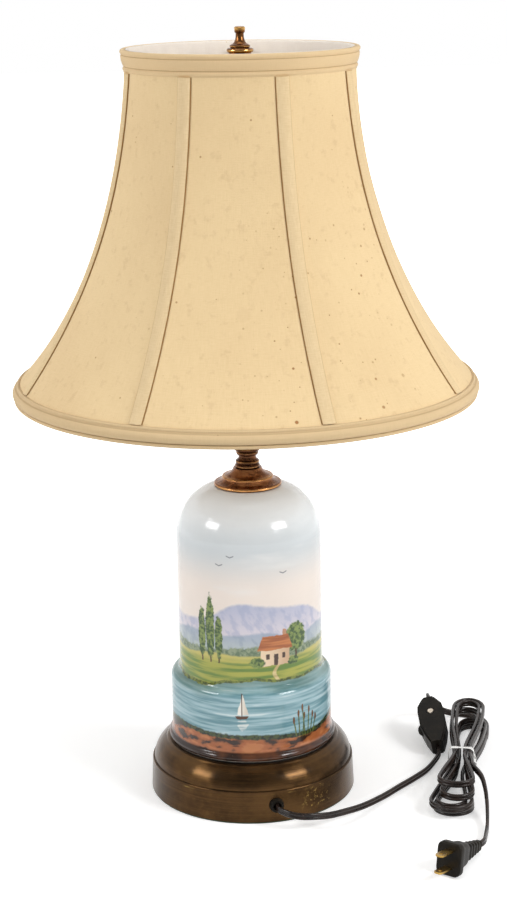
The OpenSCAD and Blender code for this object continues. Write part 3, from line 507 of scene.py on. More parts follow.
def route(start, leaving, points, arriving, end):
    """A smooth curve through given points, with a short stub into the fitting at each end."""
    points = [start, start + leaving] + [Vector(p) for p in points] + [end - arriving, end]
    line = []
    for i in range(len(points) - 1):
        a, b, c, d = (points[min(max(k, 0), len(points) - 1)] for k in range(i - 1, i + 3))
        for j in range(STEPS):
            t = j / STEPS
            line.append(0.5 * (2 * b + (c - a) * t + (2 * a - 5 * b + 4 * c - d) * t * t
                + (3 * b - a - 3 * c + d) * t ** 3))
    return line + [end]


def length_of(line):
    """Length in metres of a line in millimetres."""
    return sum((b - a).length for a, b in zip(line, line[1:])) * MM


run_line = route(mouth, mouth_way * MOUTH_STUB, [
    (28, -95, 14), (37, -97, 13), (47, -95, 12), (58, -89, 10), (70, -79, 8), (86, -62, 5),
    (103, -41, 3.2), (117, -23, 3), (130, -7, 3), (141, 8, 3.2), (149, 22, 5)],
    switch_way * STUB, switch_near)
link_line = route(switch_far, switch_way * STUB, [
    (150.8, 110.5, 26.5), (153, 117.5, 20.5), (157.5, 122.5, 13.5), (164, 126, 7.5),
    (172.5, 127.5, 4), (181.5, 126.5, 3), (191, 121.5, 3), (198, 112.5, 3), (201, 100, 3)],
    into_hank * STUB, hank[0])
tail_line = route(hank[-1], out_of_hank * STUB, [
    (179.6, -44, 20.2), (181, -57, 16.5), (181, -70, 11.5), (179.8, -85, 6.8), (178, -100, 4.3),
    (175.4, -113.5, 3.8)],
    plug_way * PLUG_STUB - PLUG_DIP, plug_tail)
lead_line = link_line[:-1] + hank + tail_line[1:]
print("base to switch %.3f m, switch to plug %.3f m" % (length_of(run_line), length_of(lead_line)))

# %% Cord covers
CORE, GROOVE = 1.4, 57
twin_section = (arc((0, CORE), CORE, -GROOVE, 180 + GROOVE, 11)
    + arc((0, -CORE), CORE, 180 - GROOVE, 360 + GROOVE, 11))


def way_at(line, i):
    return (line[min(i + 1, len(line) - 1)] - line[max(i - 1, 0)]).normalized()


def swept(line, section, sideways=None):
    """A section of (side, up) carried along a line, level unless its sideways is given."""
    points = []
    for i, middle in enumerate(line):
        way = way_at(line, i)
        side = sideways if sideways else way.cross(Vector((0, 0, 1))).normalized()
        up = side.cross(way)
        points += [(middle + side * x + up * y) * MM for x, y in section]
    return points, tube_faces(len(line), len(section))


cord_cover, shader, place = new_finish("cord_cover")
cloud = use(tarnish, place, Size=0.012)["Cloud"]
film = use(dust, place, Amount=0.05)["Mask"]
vinyl = cloud.mix((24, 16, 13), (42, 29, 23))
fill(shader, Base_Color=film.mix(vinyl, (132, 120, 108)), Roughness=cloud * 0.1 + 0.24,
    Specular_IOR_Level=0.36)
bump(shader, grain(place, 0.0016, 2), 0.00005)

cord_to_switch = make_piece("cord_to_switch", swept(run_line, twin_section), cord_cover, "lamp",
    "cord_cover", "cord_run", crease=60)
cord_to_plug = make_piece("cord_to_plug", swept(lead_line, twin_section), cord_cover, "lamp",
    "cord_cover", "cord_link", "cord_hank", "cord_tail", crease=60)
faces = len(cord_to_switch.data.polygons) + len(cord_to_plug.data.polygons)
print("cord covers:", faces, "faces")

# %% [markdown]
# ## Shade cloth
# The shade is a bell: a wire frame with eight ribs, and beige cloth stretched over it in eight
# panels. Half way up, where the cloth pulls from rib to rib, each panel is a little flatter than at
# the round top and bottom rings. A cloth simulation would relax to the same stretched sheet, so the
# sheet is laid out by its formula, with faint pull marks from smooth noise.

# %% Shape of the bell
SHADE_TOP, COLLAR, HEM = 583.515, 568.215, 337.015
TOP_RADIUS, FLARE, FLARE_HIGH = 85.7, 89.3, 250
BELL = (FLARE ** 2 + FLARE_HIGH ** 2) / (2 * FLARE)
PANELS, PANEL = 8, 45
SEAMS = [radians(-71 + PANEL * k) for k in range(PANELS)]
SWELL, FLATTER = 2.2, 0.45


def bell_radius(z, inset=0):
    """Radius of the bell's outline at a height, or of one that lies an inset further in."""
    return TOP_RADIUS + BELL - math.sqrt((BELL + inset) ** 2 - (SHADE_TOP - z) ** 2)


def between_rings(z):
    """0 at the collar and at the hem, near 1 over most of the height between them."""
    s = (COLLAR - z) / (COLLAR - HEM)
    return 1 - (2 * s - 1) ** 4 if 0 < s < 1 else 0


def cloth_radius(z, from_middle):
    """Radius of the cloth's outer face, at an angle in degrees from the middle of its panel."""
    chord = cos(radians(PANEL / 2)) / cos(radians(from_middle))
    swollen = bell_radius(z) + SWELL * between_rings(z)
    return swollen * (1 - FLATTER * between_rings(z) * (1 - chord))


print("bell: radius %.1f mm at top, %.1f mm at hem" % (bell_radius(SHADE_TOP), bell_radius(HEM)))

# %% Cloth finish
CLOTH_SOCKETS = {"Roughness": 0.88, "Specular_IOR_Level": 0.2}
THREAD_PITCH = 0.0008


def flat_place(tree):
    """The place of a point on the flat layout of its cloth, in metres."""
    return put(tree, "UVMap", {"uv_map": "UVMap"})["UV"]


def rust_specks(place, share):
    """Fine rust specks low on the right of the shade, and a faint mottle all over it."""
    x, _, z = parts(place)
    low_right = z.step(0.53, 0.41) * (x.step(-0.03, 0.03) * x.step(0.14, 0.08))
    marks = grain(place, 0.007, 3, 0.6).step(0.54, 0.74) * 0.13
    for size, strength in ((0.015, 0.9), (0.0098, 0.8), (0.007, 0.75), (0.0115, 0.5)):
        specks = use(stains, place, Size=size, Share=share)["Mask"]
        marks = marks.or_more(low_right * (specks * strength))
    return marks


def cloth_finish(name, thread, shaded, spotted, spots, depth=0.0001, specked=0.0, crease_shade=()):
    """Woven cloth with age stains, and thin dark lines of painted shade in the creases beside the
    pipings, given as (height, half width, strength).
    """
    material, shader, place = new_finish(name)
    woven = use(weave, flat_place(place.tree), Pitch=THREAD_PITCH)
    colour = woven["Tone"].mix(shaded, thread)
    colour = (grain(place, 0.09).step(0.35, 0.8) * 0.1).mix(colour, spotted)
    fine = use(stains, place, Size=0.0095, Share=spots)["Mask"]
    wide = use(stains, place, Size=0.06, Share=spots * 0.7)["Mask"]
    marks = (fine * 0.6).or_more(wide * 0.06)
    if specked:
        marks = marks.or_more(rust_specks(place, specked))
    # Painted shade: thin dark lines at the heights of the creases beside the pipings.
    for level, half, strength in crease_shade:
        _, _, z = parts(place)
        marks = marks.or_more(z.near(level * MM, half * MM, half * MM * 0.3) * strength)
    fill(shader, Base_Color=marks.mix(colour, spotted), Sheen_Weight=0.12, **CLOTH_SOCKETS)
    bump(shader, woven["Height"], depth)
    return material


shade_linen = cloth_finish("shade_linen", (237, 210, 164), (229, 201, 153),
    (158, 104, 54), 0.3, specked=0.9)
trim_linen = cloth_finish("trim_linen", (225, 197, 154), (219, 191, 147),
    (150, 112, 66), 0.05, 0.00006, crease_shade=((572.2, 0.45, 0.55), (580.4, 0.45, 0.5)))
# The hem's linen is a darker copy of the collar's. This is painted shade, for the hem faces out and
# down.
hem_shaded_linen = cloth_finish("hem_shaded_linen", (218, 191, 149), (212, 185, 142),
    (140, 104, 60), 0.05, 0.00006,
    crease_shade=((326.4, 0.5, 0.6), (333.75, 0.5, 0.35), (336.9, 0.5, 0.3)))
lining_white = cloth_finish("lining_white", (240, 231, 221), (233, 223, 211),
    (202, 180, 138), 0.2)
print("cloth finishes:", shade_linen.name, trim_linen.name, hem_shaded_linen.name, lining_white.name)

# %% Panels
CLOTH_TOP, CLOTH_LOW, CLOTH_THICK = 582.915, 334.015, 0.7
PANEL_STEPS, PANEL_ROWS = 18, 72
PULL_DEEP, PULLS_ROUND, PULL_TALL = 0.22, 7, 40
UNDER_TAPE, LAY_RADIUS = 0.1, 0.13
points, layout = [], []
for i in range(PANEL_ROWS + 1):
    z = CLOTH_LOW + (CLOTH_TOP - CLOTH_LOW) * i / PANEL_ROWS
    for j in range(PANELS * PANEL_STEPS + 1):
        angle = SEAMS[0] + radians(PANEL / PANEL_STEPS) * j
        from_middle = PANEL / PANEL_STEPS * (j % PANEL_STEPS) - PANEL / 2
        slack = max(0, cos(radians(from_middle * 180 / PANEL)))
        spot = Vector((PULLS_ROUND * cos(angle), PULLS_ROUND * sin(angle), z / PULL_TALL))
        pull = noise.noise(spot) * PULL_DEEP * slack
        points.append(around(cloth_radius(z, from_middle) + pull - UNDER_TAPE, angle, z))
        layout.append((angle * LAY_RADIUS, z * MM))
faces = grid_faces(PANEL_ROWS + 1, PANELS * PANEL_STEPS + 1)
shade_cloth = make_piece("shade_cloth", (points, faces, layout), shade_linen, "shade",
    "shade_cloth", "shade_panels", outward=False)
first_face = shade_cloth.data.polygons[0]
if first_face.normal.dot(first_face.center) < 0:
    shade_cloth.data.flip_normals()
thick = shade_cloth.modifiers.new("thickness", "SOLIDIFY")
thick.thickness, thick.offset = CLOTH_THICK * MM, -1

# %% [markdown]
# ## Lining
# A white lining hangs inside the ribs and hides them when one looks up into the shade. It is drawn
# from ring to ring and folded over the top wire, with small gathers where it was eased round the
# wires. A turned surface with a shallow ripple shows the gathers without the cost of a simulation.

# %% Lining
LINING_LOW, LINING_HIGH, LINING_ROWS, LINING_COLUMNS = 332.515, 247, 40, 320
LINING_INSET, LINING_FLATTER, LINING_GAP, LINING_LAY = 5.4, 0.051, 0.35, 0.12
GATHERS, GATHER_DEEP = 40, 0.28
EASED_MIDDLE, EASED_FOLD = 0.4, 0.3
OVER_WIRE = [(80.8, 581.4), (81.0, 582.9), (81.7, 583.8), (82.9, 584.2), (84.5, 584.1)]
fall = []
for i in range(LINING_ROWS + 1):
    z = LINING_LOW + LINING_HIGH * i / LINING_ROWS
    flatter = LINING_FLATTER * between_rings(z) * bell_radius(z)
    fall.append((bell_radius(z, LINING_INSET) - flatter - LINING_GAP, z))
fall += OVER_WIRE
points, layout = [], []
for i, (middle, z) in enumerate(fall):
    from_middle = abs(2 * min(i, LINING_ROWS) / LINING_ROWS - 1)
    eased = EASED_MIDDLE + (1 - EASED_MIDDLE) * from_middle
    if i > LINING_ROWS + 1:
        eased *= EASED_FOLD
    for j in range(LINING_COLUMNS + 1):
        angle = 2 * pi * j / LINING_COLUMNS
        gather = GATHER_DEEP * sin(angle * GATHERS + 0.7 * sin(angle * 7)) * eased
        points.append(around(middle + gather, angle, z))
        layout.append((angle * LINING_LAY, z * MM))
faces = grid_faces(len(fall), LINING_COLUMNS + 1)
shade_lining = make_piece("lining_cloth", (points, faces, layout), lining_white, "shade",
    "shade_lining", "shade_lining", outward=False)

# %% [markdown]
# ## Seam tapes
# Folded tapes 11 mm wide cover the joins of the panels, from the collar to the hem. Each has a soft
# crowned back. Along one edge runs a thin dark line of painted shade, where the fold stands off the
# cloth, and along the far edge a fainter band of painted shadow that the tape casts on the panel. So
# thin a line could be a groove in the mesh, but it would need very small faces, so the painted shade
# is drawn in the finish, from the tape's own flat layout.

# %% Tapes over the seams
tape_linen, shader, place = new_finish("tape_linen")
lay = flat_place(place.tree)
woven = use(weave, lay, Pitch=THREAD_PITCH)
across, _, _ = parts(lay)
colour = woven["Tone"].mix((219, 192, 148), (233, 208, 165))
# Painted shade: a thin dark line along one edge of the tape, and a fainter band of painted shadow
# along the far edge.
painted_tape_shade = (grain(place, 0.02, 2) * 0.0003 + across).step(0.0033, 0.0037)
painted_tape_shade = painted_tape_shade.or_more(across.step(-0.0059, -0.0067) * 0.4)
fill(shader, Base_Color=painted_tape_shade.mix(colour, (146, 108, 62)), **CLOTH_SOCKETS)
bump(shader, woven["Height"], 0.00015)

TAPE_ROWS = 60
TAPE = [(-7, 0.3), (-6.8, 0.8), (-6.1, 1.3), (-4.6, 1.8), (-2.4, 2.1), (-0.4, 2.1), (1.4, 1.85),
    (2.8, 1.3), (3.5, 0.7), (4, 0.3), (4, 0.12), (-7, 0.12)]
points, faces, layout = [], [], []
for seam in SEAMS:
    # Which side of the seam the tape lies on, and with it its line of painted shade, depends on the
    # half of the lamp that the seam is on.
    mirror = 1 if cos(seam) < 0 else -1
    faces += tube_faces(TAPE_ROWS + 1, len(TAPE), len(points))
    for i in range(TAPE_ROWS + 1):
        z = HEM + 0.4 + (COLLAR - 0.6 - HEM) * i / TAPE_ROWS
        for side, stand in TAPE:
            offset = mirror * side / bell_radius(z)
            r = cloth_radius(z, PANEL / 2 - abs(math.degrees(offset))) + stand
            points.append(around(r, seam + offset, z))
            layout.append((side * MM, z * MM))
make_piece("seam_tape_cloth", (points, faces, layout), tape_linen, "shade", "shade_trim",
    "seam_tapes")
print("tapes:", len(SEAMS), "strips")

# %% [markdown]
# ## Collar and hem
# The top ring is bound with a folded collar, piped along its top and bottom edges, and the bottom
# ring with a hem between two pipings. They could be built of bands and covered cords one by one, but
# one profile turned round the axis leaves no gaps: a covered cord shows as a half round in it, and
# the fold of the band as a shallow notch.

# %% Collar and hem
COLLAR_TOP, COLLAR_RIM = 583.015, 84.6
HEM_LOW, WIRE_HIGH, WIRE_INSET = 323.515, 334.515, 3.1


def beside(r, z, *offsets):
    """Points of a profile, given as offsets from one radius and height."""
    return [(r + a, z + b) for a, b in offsets]


inner = bell_radius(COLLAR) + 0.1
outer = inner + 2.2
collar = ([(inner, COLLAR)] + arc((inner - 1.0, COLLAR + 2.0), 1.75, -55, 55, 10)
    + beside(inner, COLLAR, (0.15, 4.0), (0.6, 4.5), (0.95, 5.4))
    + beside(outer, COLLAR, (-0.35, 8.4), (-0.1, 10.6), (-0.15, 11.6), (-0.6, 12.2))
    + arc((outer - 1.35, 582.5), 1.8, -50, 140, 14)
    + [(COLLAR_RIM, 583.9), (COLLAR_RIM, COLLAR_TOP), (inner, COLLAR_TOP)])
collar_cloth = make_piece("collar_cloth", turned(collar, 192), trim_linen, "shade", "shade_trim",
    "collar_trim", crease=75)

inner = bell_radius(CLOTH_LOW) + 0.2
lip = bell_radius(HEM) + 0.4
wire = bell_radius(WIRE_HIGH, WIRE_INSET)
hem = ([(wire - 3, CLOTH_LOW - 3), (wire - 3, HEM_LOW + 1.6)]
    + arc((inner + 1, HEM_LOW + 1.4), 1.4, -90, 44, 10)
    + beside(inner, HEM_LOW, (1.35, 2.9), (2.5, 3.3), (3.3, 4.5), (3.6, 5.75), (3.48, 6.2),
        (3.6, 6.65), (3.35, 7.6), (2.6, 9.0), (1.6, 9.9), (0.9, 10.2))
    + arc((lip + 1, HEM - 1.7), 1.5, -32, 130, 10)
    + [(lip, HEM - 0.4), (inner, CLOTH_LOW), (inner, CLOTH_LOW - 3)])
hem_cloth = make_piece("hem_cloth", turned(hem, 256), hem_shaded_linen, "shade", "shade_trim",
    "hem_trim", crease=75)
print("collar:", len(collar_cloth.data.polygons), "hem:", len(hem_cloth.data.polygons), "faces")

# %% [markdown]
# ## Porcelain and its painting
# The body is white porcelain, painted by hand all round with a quiet landscape and glazed. The
# scene here is a generic one: pale sky, rounded hills, a cottage by poplars, a sail on a lake and
# brown earth at the foot. An image would be simple, but it is drawn in nodes: each shape is a mask
# from the way round the body, u, and the height, v, with noise on its edges for the brush.

# %% Painter's helpers
BODY_RADIUS, WOBBLE = 57, 2.2


def angle_round(x, y):
    """The angle round the lamp's axis, 0 in front and growing to the right."""
    return calc(x.tree, "ARCTAN2", x, y * -1)


porcelain, shader, place = new_finish("porcelain")
tree = place.tree
x, y, z = parts(place)
turn = angle_round(x, y)
steady_u, steady_v = turn * BODY_RADIUS, z * 1000
brush = put(tree, "TexNoise", Vector=place, Scale=240, Detail=3)["Color"]
brush = put(tree, "SeparateColor", Color=brush)
u = steady_u + (brush["Red"] - 0.5) * WOBBLE
v = steady_v + (brush["Green"] - 0.5) * WOBBLE
leafy = grain(place, 0.0028, 3, 0.6)
strokes = streaks(x * 22, y * 22, z * 330)


def wavy(base, *waves):
    """A height round the body: a base and waves of (size, count round, start)."""
    for size, count, start in waves:
        base = (turn * count + start).sine() * size + base
    return base


def hump(size, middle, width):
    """A smooth rise of a skyline, of a size, at a middle, fading over a width."""
    off = (u - middle) / width
    return math.e ** (off * off * -1) * size


def below(height, soft=0.8):
    """1 under a height, 0 over it, with a soft edge."""
    return (v - height).step(soft, -soft)


def oval(middle_u, middle_v, half_u, half_v, ragged=0.5):
    """An oval with a ragged edge: a crown of leaves, a bush, a reflection."""
    a, b = (u - middle_u) / half_u, (v - middle_v) / half_v
    far = calc(tree, "SQRT", a * a + b * b) + (leafy - 0.5) * ragged
    return far.step(1.08, 0.92)


def slab(middle_u, half_low, half_high, low, high):
    """A four-sided shape with level top and bottom: a wall, a roof, a sail."""
    half = (v - low) / (high - low) * (half_high - half_low) + half_low
    wide = (half - abs(u - middle_u)).step(-0.3, 0.3)
    return wide * (v.step(low - 0.3, low + 0.3) * v.step(high + 0.3, high - 0.3))


def cover(mask, colour):
    """Lays a colour over the picture where the mask is 1."""
    global picture
    picture = mask.mix(picture, colour)


print("painter's helpers ready")

# %% Sky, hills and meadow
picture = v.tone(176, 214, (238, 226, 216), (204, 210, 213))
# Painted light: above the pale sky, the crown under the cap is painted near white, lighter than the
# rest, to make up for the shadow that the lamp shade casts on it.
cover(v.step(211, 249), (250, 253, 254))
drift = streaks(x * 14, y * 14, z * 60)
cover(drift.step(0.5, 0.75) * 0.5, (236, 235, 233))
slopes = streaks(x * 160 + v * 0.07, y * 160, v * 0.1, detail=4)
far_hills = wavy(154, (4, 3, 0.4), (2.5, 7, 1.1)) + (hump(17, -16, 20) + hump(10, 30, 26))
ridges = v.tone(136, 172, (222, 214, 220), (182, 186, 208))
ridges = (slopes.step(0.46, 0.62) * 0.5).mix(ridges, (160, 168, 198))
cover(below(far_hills, 1.6), ridges)
near_hills = wavy(142, (4, 2, 2.2), (2, 5, 0.3)) + hump(7, 62, 18)
ridges = v.tone(127, 149, (190, 200, 196), (164, 174, 194))
ridges = (slopes.step(0.44, 0.6) * 0.5).mix(ridges, (142, 156, 176))
cover(below(near_hills, 1.4), ridges)
woods = wavy(129.5, (2, 3, 1.0)) + leafy * 8
trees = leafy.tone(0.4, 0.62, (100, 120, 94), (146, 158, 130))
cover(below(woods, 1.2), trees)
grass = strokes.tone(0.4, 0.62, (104, 134, 60), (172, 172, 78))
grass = (v.step(119, 128) * 0.7).mix(grass, (214, 198, 118))
cover(below(wavy(127, (1.8, 3, 2.6), (0.8, 8, 0)), 1.0), grass)
print("sky, hills and meadow:", len(tree.nodes), "nodes so far")

# %% Lake and foreground
far_shore = wavy(104, (2.6, 2, 0.9), (1.4, 5, 2.0), (0.5, 13, 0.4))
near_shore = wavy(62.5, (3.0, 3, 3.6), (2.2, 4, 0.7)) + leafy * 2.4
water = strokes.tone(0.36, 0.62, (104, 148, 158), (164, 196, 204))
water = strokes.step(0.62, 0.7).mix(water, (208, 224, 226))
water = ((far_shore - v).step(10, 0) * 0.6).mix(water, (84, 114, 92))
bank = leafy.tone(0.42, 0.6, (66, 80, 40), (124, 134, 56))
cover(below(far_shore + 2.4), bank)
cover(below(far_shore, 0.5), water)
bank = leafy.tone(0.4, 0.6, (38, 46, 36), (70, 82, 46))
cover(below(near_shore + 2.2), bank)
patches = streaks(x * 55, y * 55, v * 0.15 + leafy * 0.35, detail=2)
earth = patches.tone(0.4, 0.53, (54, 36, 26), (168, 98, 56))
earth = (patches.step(0.54, 0.66) * 0.7).mix(earth, (198, 128, 78))
cover(below(near_shore - 1.6), earth)
print("lake and foreground:", len(tree.nodes), "nodes so far")

# %% Poplars and cottage
leaves = leafy.tone(0.4, 0.62, (62, 88, 52), (134, 152, 82))
bark, dark_wood = (80, 60, 42), (76, 56, 46)
for at, high, half in ((-41, 20, 3.6), (-33, 25, 4.0), (-25.5, 17, 3.4)):
    cover(slab(at, 0.7, 0.5, 121, 131), (84, 62, 44))
    cover(oval(at, 125 + high, half, high), leaves)
cover(oval(38, 140, 10, 12), leaves)
cover(slab(38, 0.9, 0.7, 120, 130), bark)
walls = u.tone(10, 33, (238, 212, 180), (206, 170, 136))
cover(slab(20, 12, 12, 119.5, 132.5), walls)
cover(slab(27.5, 1.7, 1.7, 139.5, 147.5), (188, 140, 108))
roof = strokes.tone(0.42, 0.6, (160, 90, 52), (198, 124, 72))
cover(slab(20, 14.6, 10.6, 132, 143.5), roof)
for at in (13.5, 26.5):
    cover(slab(at, 1.4, 1.4, 124.5, 129), dark_wood)
cover(slab(20, 1.7, 1.7, 119.6, 128.5), dark_wood)
bend_of_path = (v * 0.32).sine() * 2.4 + 21
path = u.near(bend_of_path, 2.0, 1.0) * (v.step(106.5, 108.5) * v.step(120.2, 119.2))
gravel = strokes.tone(0.42, 0.6, (206, 178, 124), (228, 206, 156))
cover(path * 0.85, gravel)
for bush in (oval(5, 122.5, 6, 4.4), oval(35.5, 121, 5, 3.2)):
    cover(bush, leaves)
print("poplars and cottage:", len(tree.nodes), "nodes so far")

# %% Sail, reeds, birds and the trees behind
REED_FOOT = 60
REEDS = ((33, -0.16, 74), (35.6, -0.05, 79), (38.2, 0.1, 76), (40.4, -0.1, 83), (43, 0.06, 80),
    (45.4, 0.16, 75), (48, 0.24, 72))
TREES_BEHIND = ((104, 141, 11), (120, 137, 8), (150, 143, 10), (-112, 140, 10), (-134, 138, 9),
    (-164, 142, 11))
mirrored = oval(-6.4, 74.5, 3.6, 4.6, 0.9) * strokes.step(0.42, 0.56)
cover(mirrored, (222, 228, 224))
cover(slab(-7, 3.3, 4.9, 79.5, 81.8), (88, 56, 38))
canvas = u.tone(-8, -3, (246, 242, 232), (222, 212, 196))
cover(slab(-6.2, 4.1, 0.3, 82.8, 98.5), canvas)
# Thin lines are drawn without the wobble of the brush, which would break them up.
loose_u, loose_v, u, v = u, v, steady_u, steady_v
cover(slab(-6.8, 0.35, 0.35, 81, 99.5), (88, 62, 46))
for at, lean, high in REEDS:
    stem = u.near((v - REED_FOOT) * lean + at, 0.75, 0.25)
    stem = stem * (v.step(58, 61) * v.step(high + 0.5, high - 0.5))
    cover(stem, leafy.tone(0.4, 0.6, (72, 86, 44), (112, 122, 60)))
    head = oval(at + lean * (high - REED_FOOT), high, 0.9, 3.0, 0.2)
    cover(head, (106, 74, 46))
for at, high in ((-24, 200), (-15, 207), (27, 193)):
    wings = v.near(abs(u - at) * 0.42 + high, 0.7, 0.2) * u.near(at, 3.4, 2.6)
    cover(wings * 0.8, (104, 108, 116))
u, v = loose_u, loose_v
for at, high, half in TREES_BEHIND:
    cover(slab(at, 0.9, 0.7, 121, 131), bark)
    cover(oval(at, high, half, 13), leaves)
print("motifs:", len(tree.nodes), "nodes so far")

# %% Foot band and glaze
foot = grain(place, 0.02).tone(0.4, 0.65, (44, 26, 17), (92, 52, 28))
cover(steady_v.step(52.5, 50.5), foot)
cover(steady_v.step(45.2, 44.6), (226, 222, 212))
kiln = use(stains, place, Size=0.03, Share=0.06)["Mask"]
cover(kiln * 0.6, (120, 116, 106))
fill(shader, Base_Color=picture, Roughness=grain(place, 0.03) * 0.06 + 0.1)
bump(shader, strokes + grain(place, 0.02, 2), 0.00012)
print("porcelain finish:", len(tree.nodes), "nodes")

# %% [markdown]
# ## Brass and bronze
# The base is spun brass with a dark bronze patina, rubbed through to gold in a few places, and the
# cap, neck and finial are turned brass of a redder brown. Metal has no colour of its own in the
# light: its base colour tints what it mirrors. Wear could be painted on by hand, but then it would
# have to be painted again after each change of size. So one helper mixes a dark patina with bare
# metal along chosen ridges, where hands and cloths have polished it, and adds fine turning marks.

# %% Metal finishes
TURNING_MARKS = 5200


def metal_finish(name, patina, shine, bare, rough, size, ridges=(), rubbed=0.12):
    """Old metal; ridges lists (height, half width) of edges that are polished bare."""
    material, shader, place = new_finish(name)
    _, _, height = parts(place)
    old = use(tarnish, place, Size=size)
    colour = old["Cloud"].mix(patina, shine)
    worn = old["Fleck"] * rubbed
    for level, half in ridges:
        ridge = height.near(level * MM, half * MM, half * MM * 0.2)
        worn = worn.or_more(ridge * (old["Cloud"] * 0.5 + 0.45))
    fill(shader, Base_Color=worn.mix(colour, bare), Metallic=1,
        Roughness=old["Cloud"] * 0.1 + rough - worn * 0.08)
    lines = put(place.tree, "TexNoise", {"noise_dimensions": "1D"}, W=height * TURNING_MARKS,
        Scale=1, Detail=2)["Fac"]
    bump(shader, lines + old["Fleck"] * 0.4, 0.00002)
    return material


def dress(finish, *names):
    """Gives solids of the frame a finish."""
    for name in names:
        finishes = nodes[name].data.materials
        finishes.clear()
        finishes.append(finish)


dress(metal_finish("cap_brass", (116, 73, 47), (158, 106, 68), (198, 146, 90), 0.24, 0.007,
    ((251.2, 1.3), (257.2, 1.0))), "vase_cap")
# The neck's patina is darker than the cap's: partly its own redder brown, and partly painted shade
# for the shadow of the lamp shade over it.
dress(metal_finish("neck_brass_shaded", (72, 46, 32), (112, 74, 50), (196, 146, 92), 0.22, 0.006,
    ((264.9, 0.6), (268.9, 0.5), (276.1, 0.5), (279.4, 0.6)), 0.06), "neck")
dress(metal_finish("finial_gold", (98, 62, 34), (152, 102, 60), (228, 182, 110), 0.2, 0.006,
    ((581.4, 1.3), (584.4, 0.7), (597.4, 1.9))), "finial")
dress(metal_finish("harp_gold", (150, 120, 66), (186, 152, 86), (224, 196, 128), 0.3, 0.01),
    "harp", "harp_saddle", "harp_stud", "sleeve_left", "sleeve_right", "shade_spider")
dress(metal_finish("socket_gold", (168, 134, 70), (202, 166, 92), (232, 204, 134), 0.26, 0.01),
    "socket_cap", "socket_shell", "screw_shell", "centre_contact", "terminal_screws",
    "plug_blades", "switch_contacts", "pipe_nut")
dress(metal_finish("plain_steel", (128, 126, 122), (168, 166, 160), (206, 204, 198), 0.32, 0.006),
    "set_screw", "lock_washer", "base_washer", "lamp_pipe")
dress(metal_finish("screw_nickel", (206, 192, 174), (232, 222, 208), (244, 236, 224), 0.24, 0.002),
    "switch_screw")
dress(metal_finish("frame_zinc", (146, 140, 126), (186, 180, 166), (214, 208, 196), 0.38, 0.008),
    "shade_frame")
dress(metal_finish("bulb_cap_metal", (170, 170, 168), (204, 204, 202), (228, 228, 226), 0.28,
    0.005), "bulb_cap")
print("finishes so far:", len(bpy.data.materials))

# %% Bronze base
EDGE_HEIGHT, FLAKE_TURN, FLAKE_HEIGHT = 0.0236, 0.66, 0.015
base_bronze, shader, place = new_finish("base_bronze")
old = use(tarnish, place, Size=0.028)
x, y, z = parts(place)
spun = streaks(x * 10, y * 10, z * 900)
colour = old["Cloud"].mix((58, 40, 22), (84, 60, 34))
colour = (spun.step(0.35, 0.75) * 0.4).mix(colour, (98, 72, 42))
flaked = angle_round(x, y).near(FLAKE_TURN, 0.22, 0.05) * z.near(FLAKE_HEIGHT, 0.011, 0.004)
flaked = flaked * grain(place, 0.0026, 4, 0.7).step(0.54, 0.66)
edge = z.near(EDGE_HEIGHT, 0.0007, 0.0002) * grain(place, 0.02, 2).step(0.56, 0.68)
rubbed = flaked.or_more(edge).or_more(old["Fleck"] * 0.03)
along_spin = put(place.tree, "Tangent", {"direction_type": "RADIAL", "axis": "Z"})["Tangent"]
fill(shader, Base_Color=rubbed.mix(colour, (182, 150, 84)), Metallic=1,
    Roughness=old["Cloud"] * 0.04 + 0.21, Anisotropic=0.95, Anisotropic_Rotation=0.25,
    Tangent=along_spin, Coat_Weight=0.1, Coat_Roughness=0.28)
bump(shader, spun + old["Fleck"] * 0.5, 0.00002)
dress(base_bronze, "base_shell")
dress(porcelain, "porcelain_body")
print("base and porcelain dressed")

# %% [markdown]
# ## Socket, bulb and small parts
# Inside the shade stand a brass shell socket with a paper liner, and a frosted bulb. A felt pad is
# glued under the base, and a rubber gasket lies between base and porcelain. They show only from
# below or when the lamp is taken apart. One plain finish could do for all of them, but each gets
# its own, because the part will be seen from all sides.

# %% Plain finishes for small parts
def plain_finish(name, first, second, rough, size, marks=0.00004, dusty=0.0, gloss=0.5):
    """Rubber, plastic or paper in two tones, with fine marks and some dust."""
    material, shader, place = new_finish(name)
    old = use(tarnish, place, Size=size)
    film = use(dust, place, Amount=dusty)["Mask"]
    colour = old["Cloud"].mix(first, second)
    fill(shader, Base_Color=film.mix(colour, (150, 140, 128)),
        Roughness=old["Cloud"] * 0.12 + rough, Specular_IOR_Level=gloss)
    bump(shader, old["Fleck"] + old["Cloud"], marks)
    return material


dress(plain_finish("black_rubber", (24, 22, 20), (40, 36, 33), 0.5, 0.006), "foot_gasket")
black_plastic = plain_finish("black_plastic", (22, 19, 15), (34, 30, 24), 0.32, 0.009,
    marks=0.00003, dusty=0.02, gloss=0.12)
dress(black_plastic, "cord_bushing", "switch_back", "switch_front", "switch_wheel")
dress(plain_finish("insulator_brown", (70, 44, 28), (96, 62, 40), 0.4, 0.006), "socket_insulator")
dress(plain_finish("liner_paper", (176, 148, 108), (200, 172, 130), 0.8, 0.004), "socket_liner")

frosted, shader, place = new_finish("frosted_glass")
haze = grain(place, 0.02)
fill(shader, Base_Color=haze.mix((238, 238, 234), (248, 248, 246)),
    Roughness=haze * 0.12 + 0.32, Transmission_Weight=0.5, Coat_Weight=0.3)
dress(frosted, "bulb_glass")
print("small parts dressed")

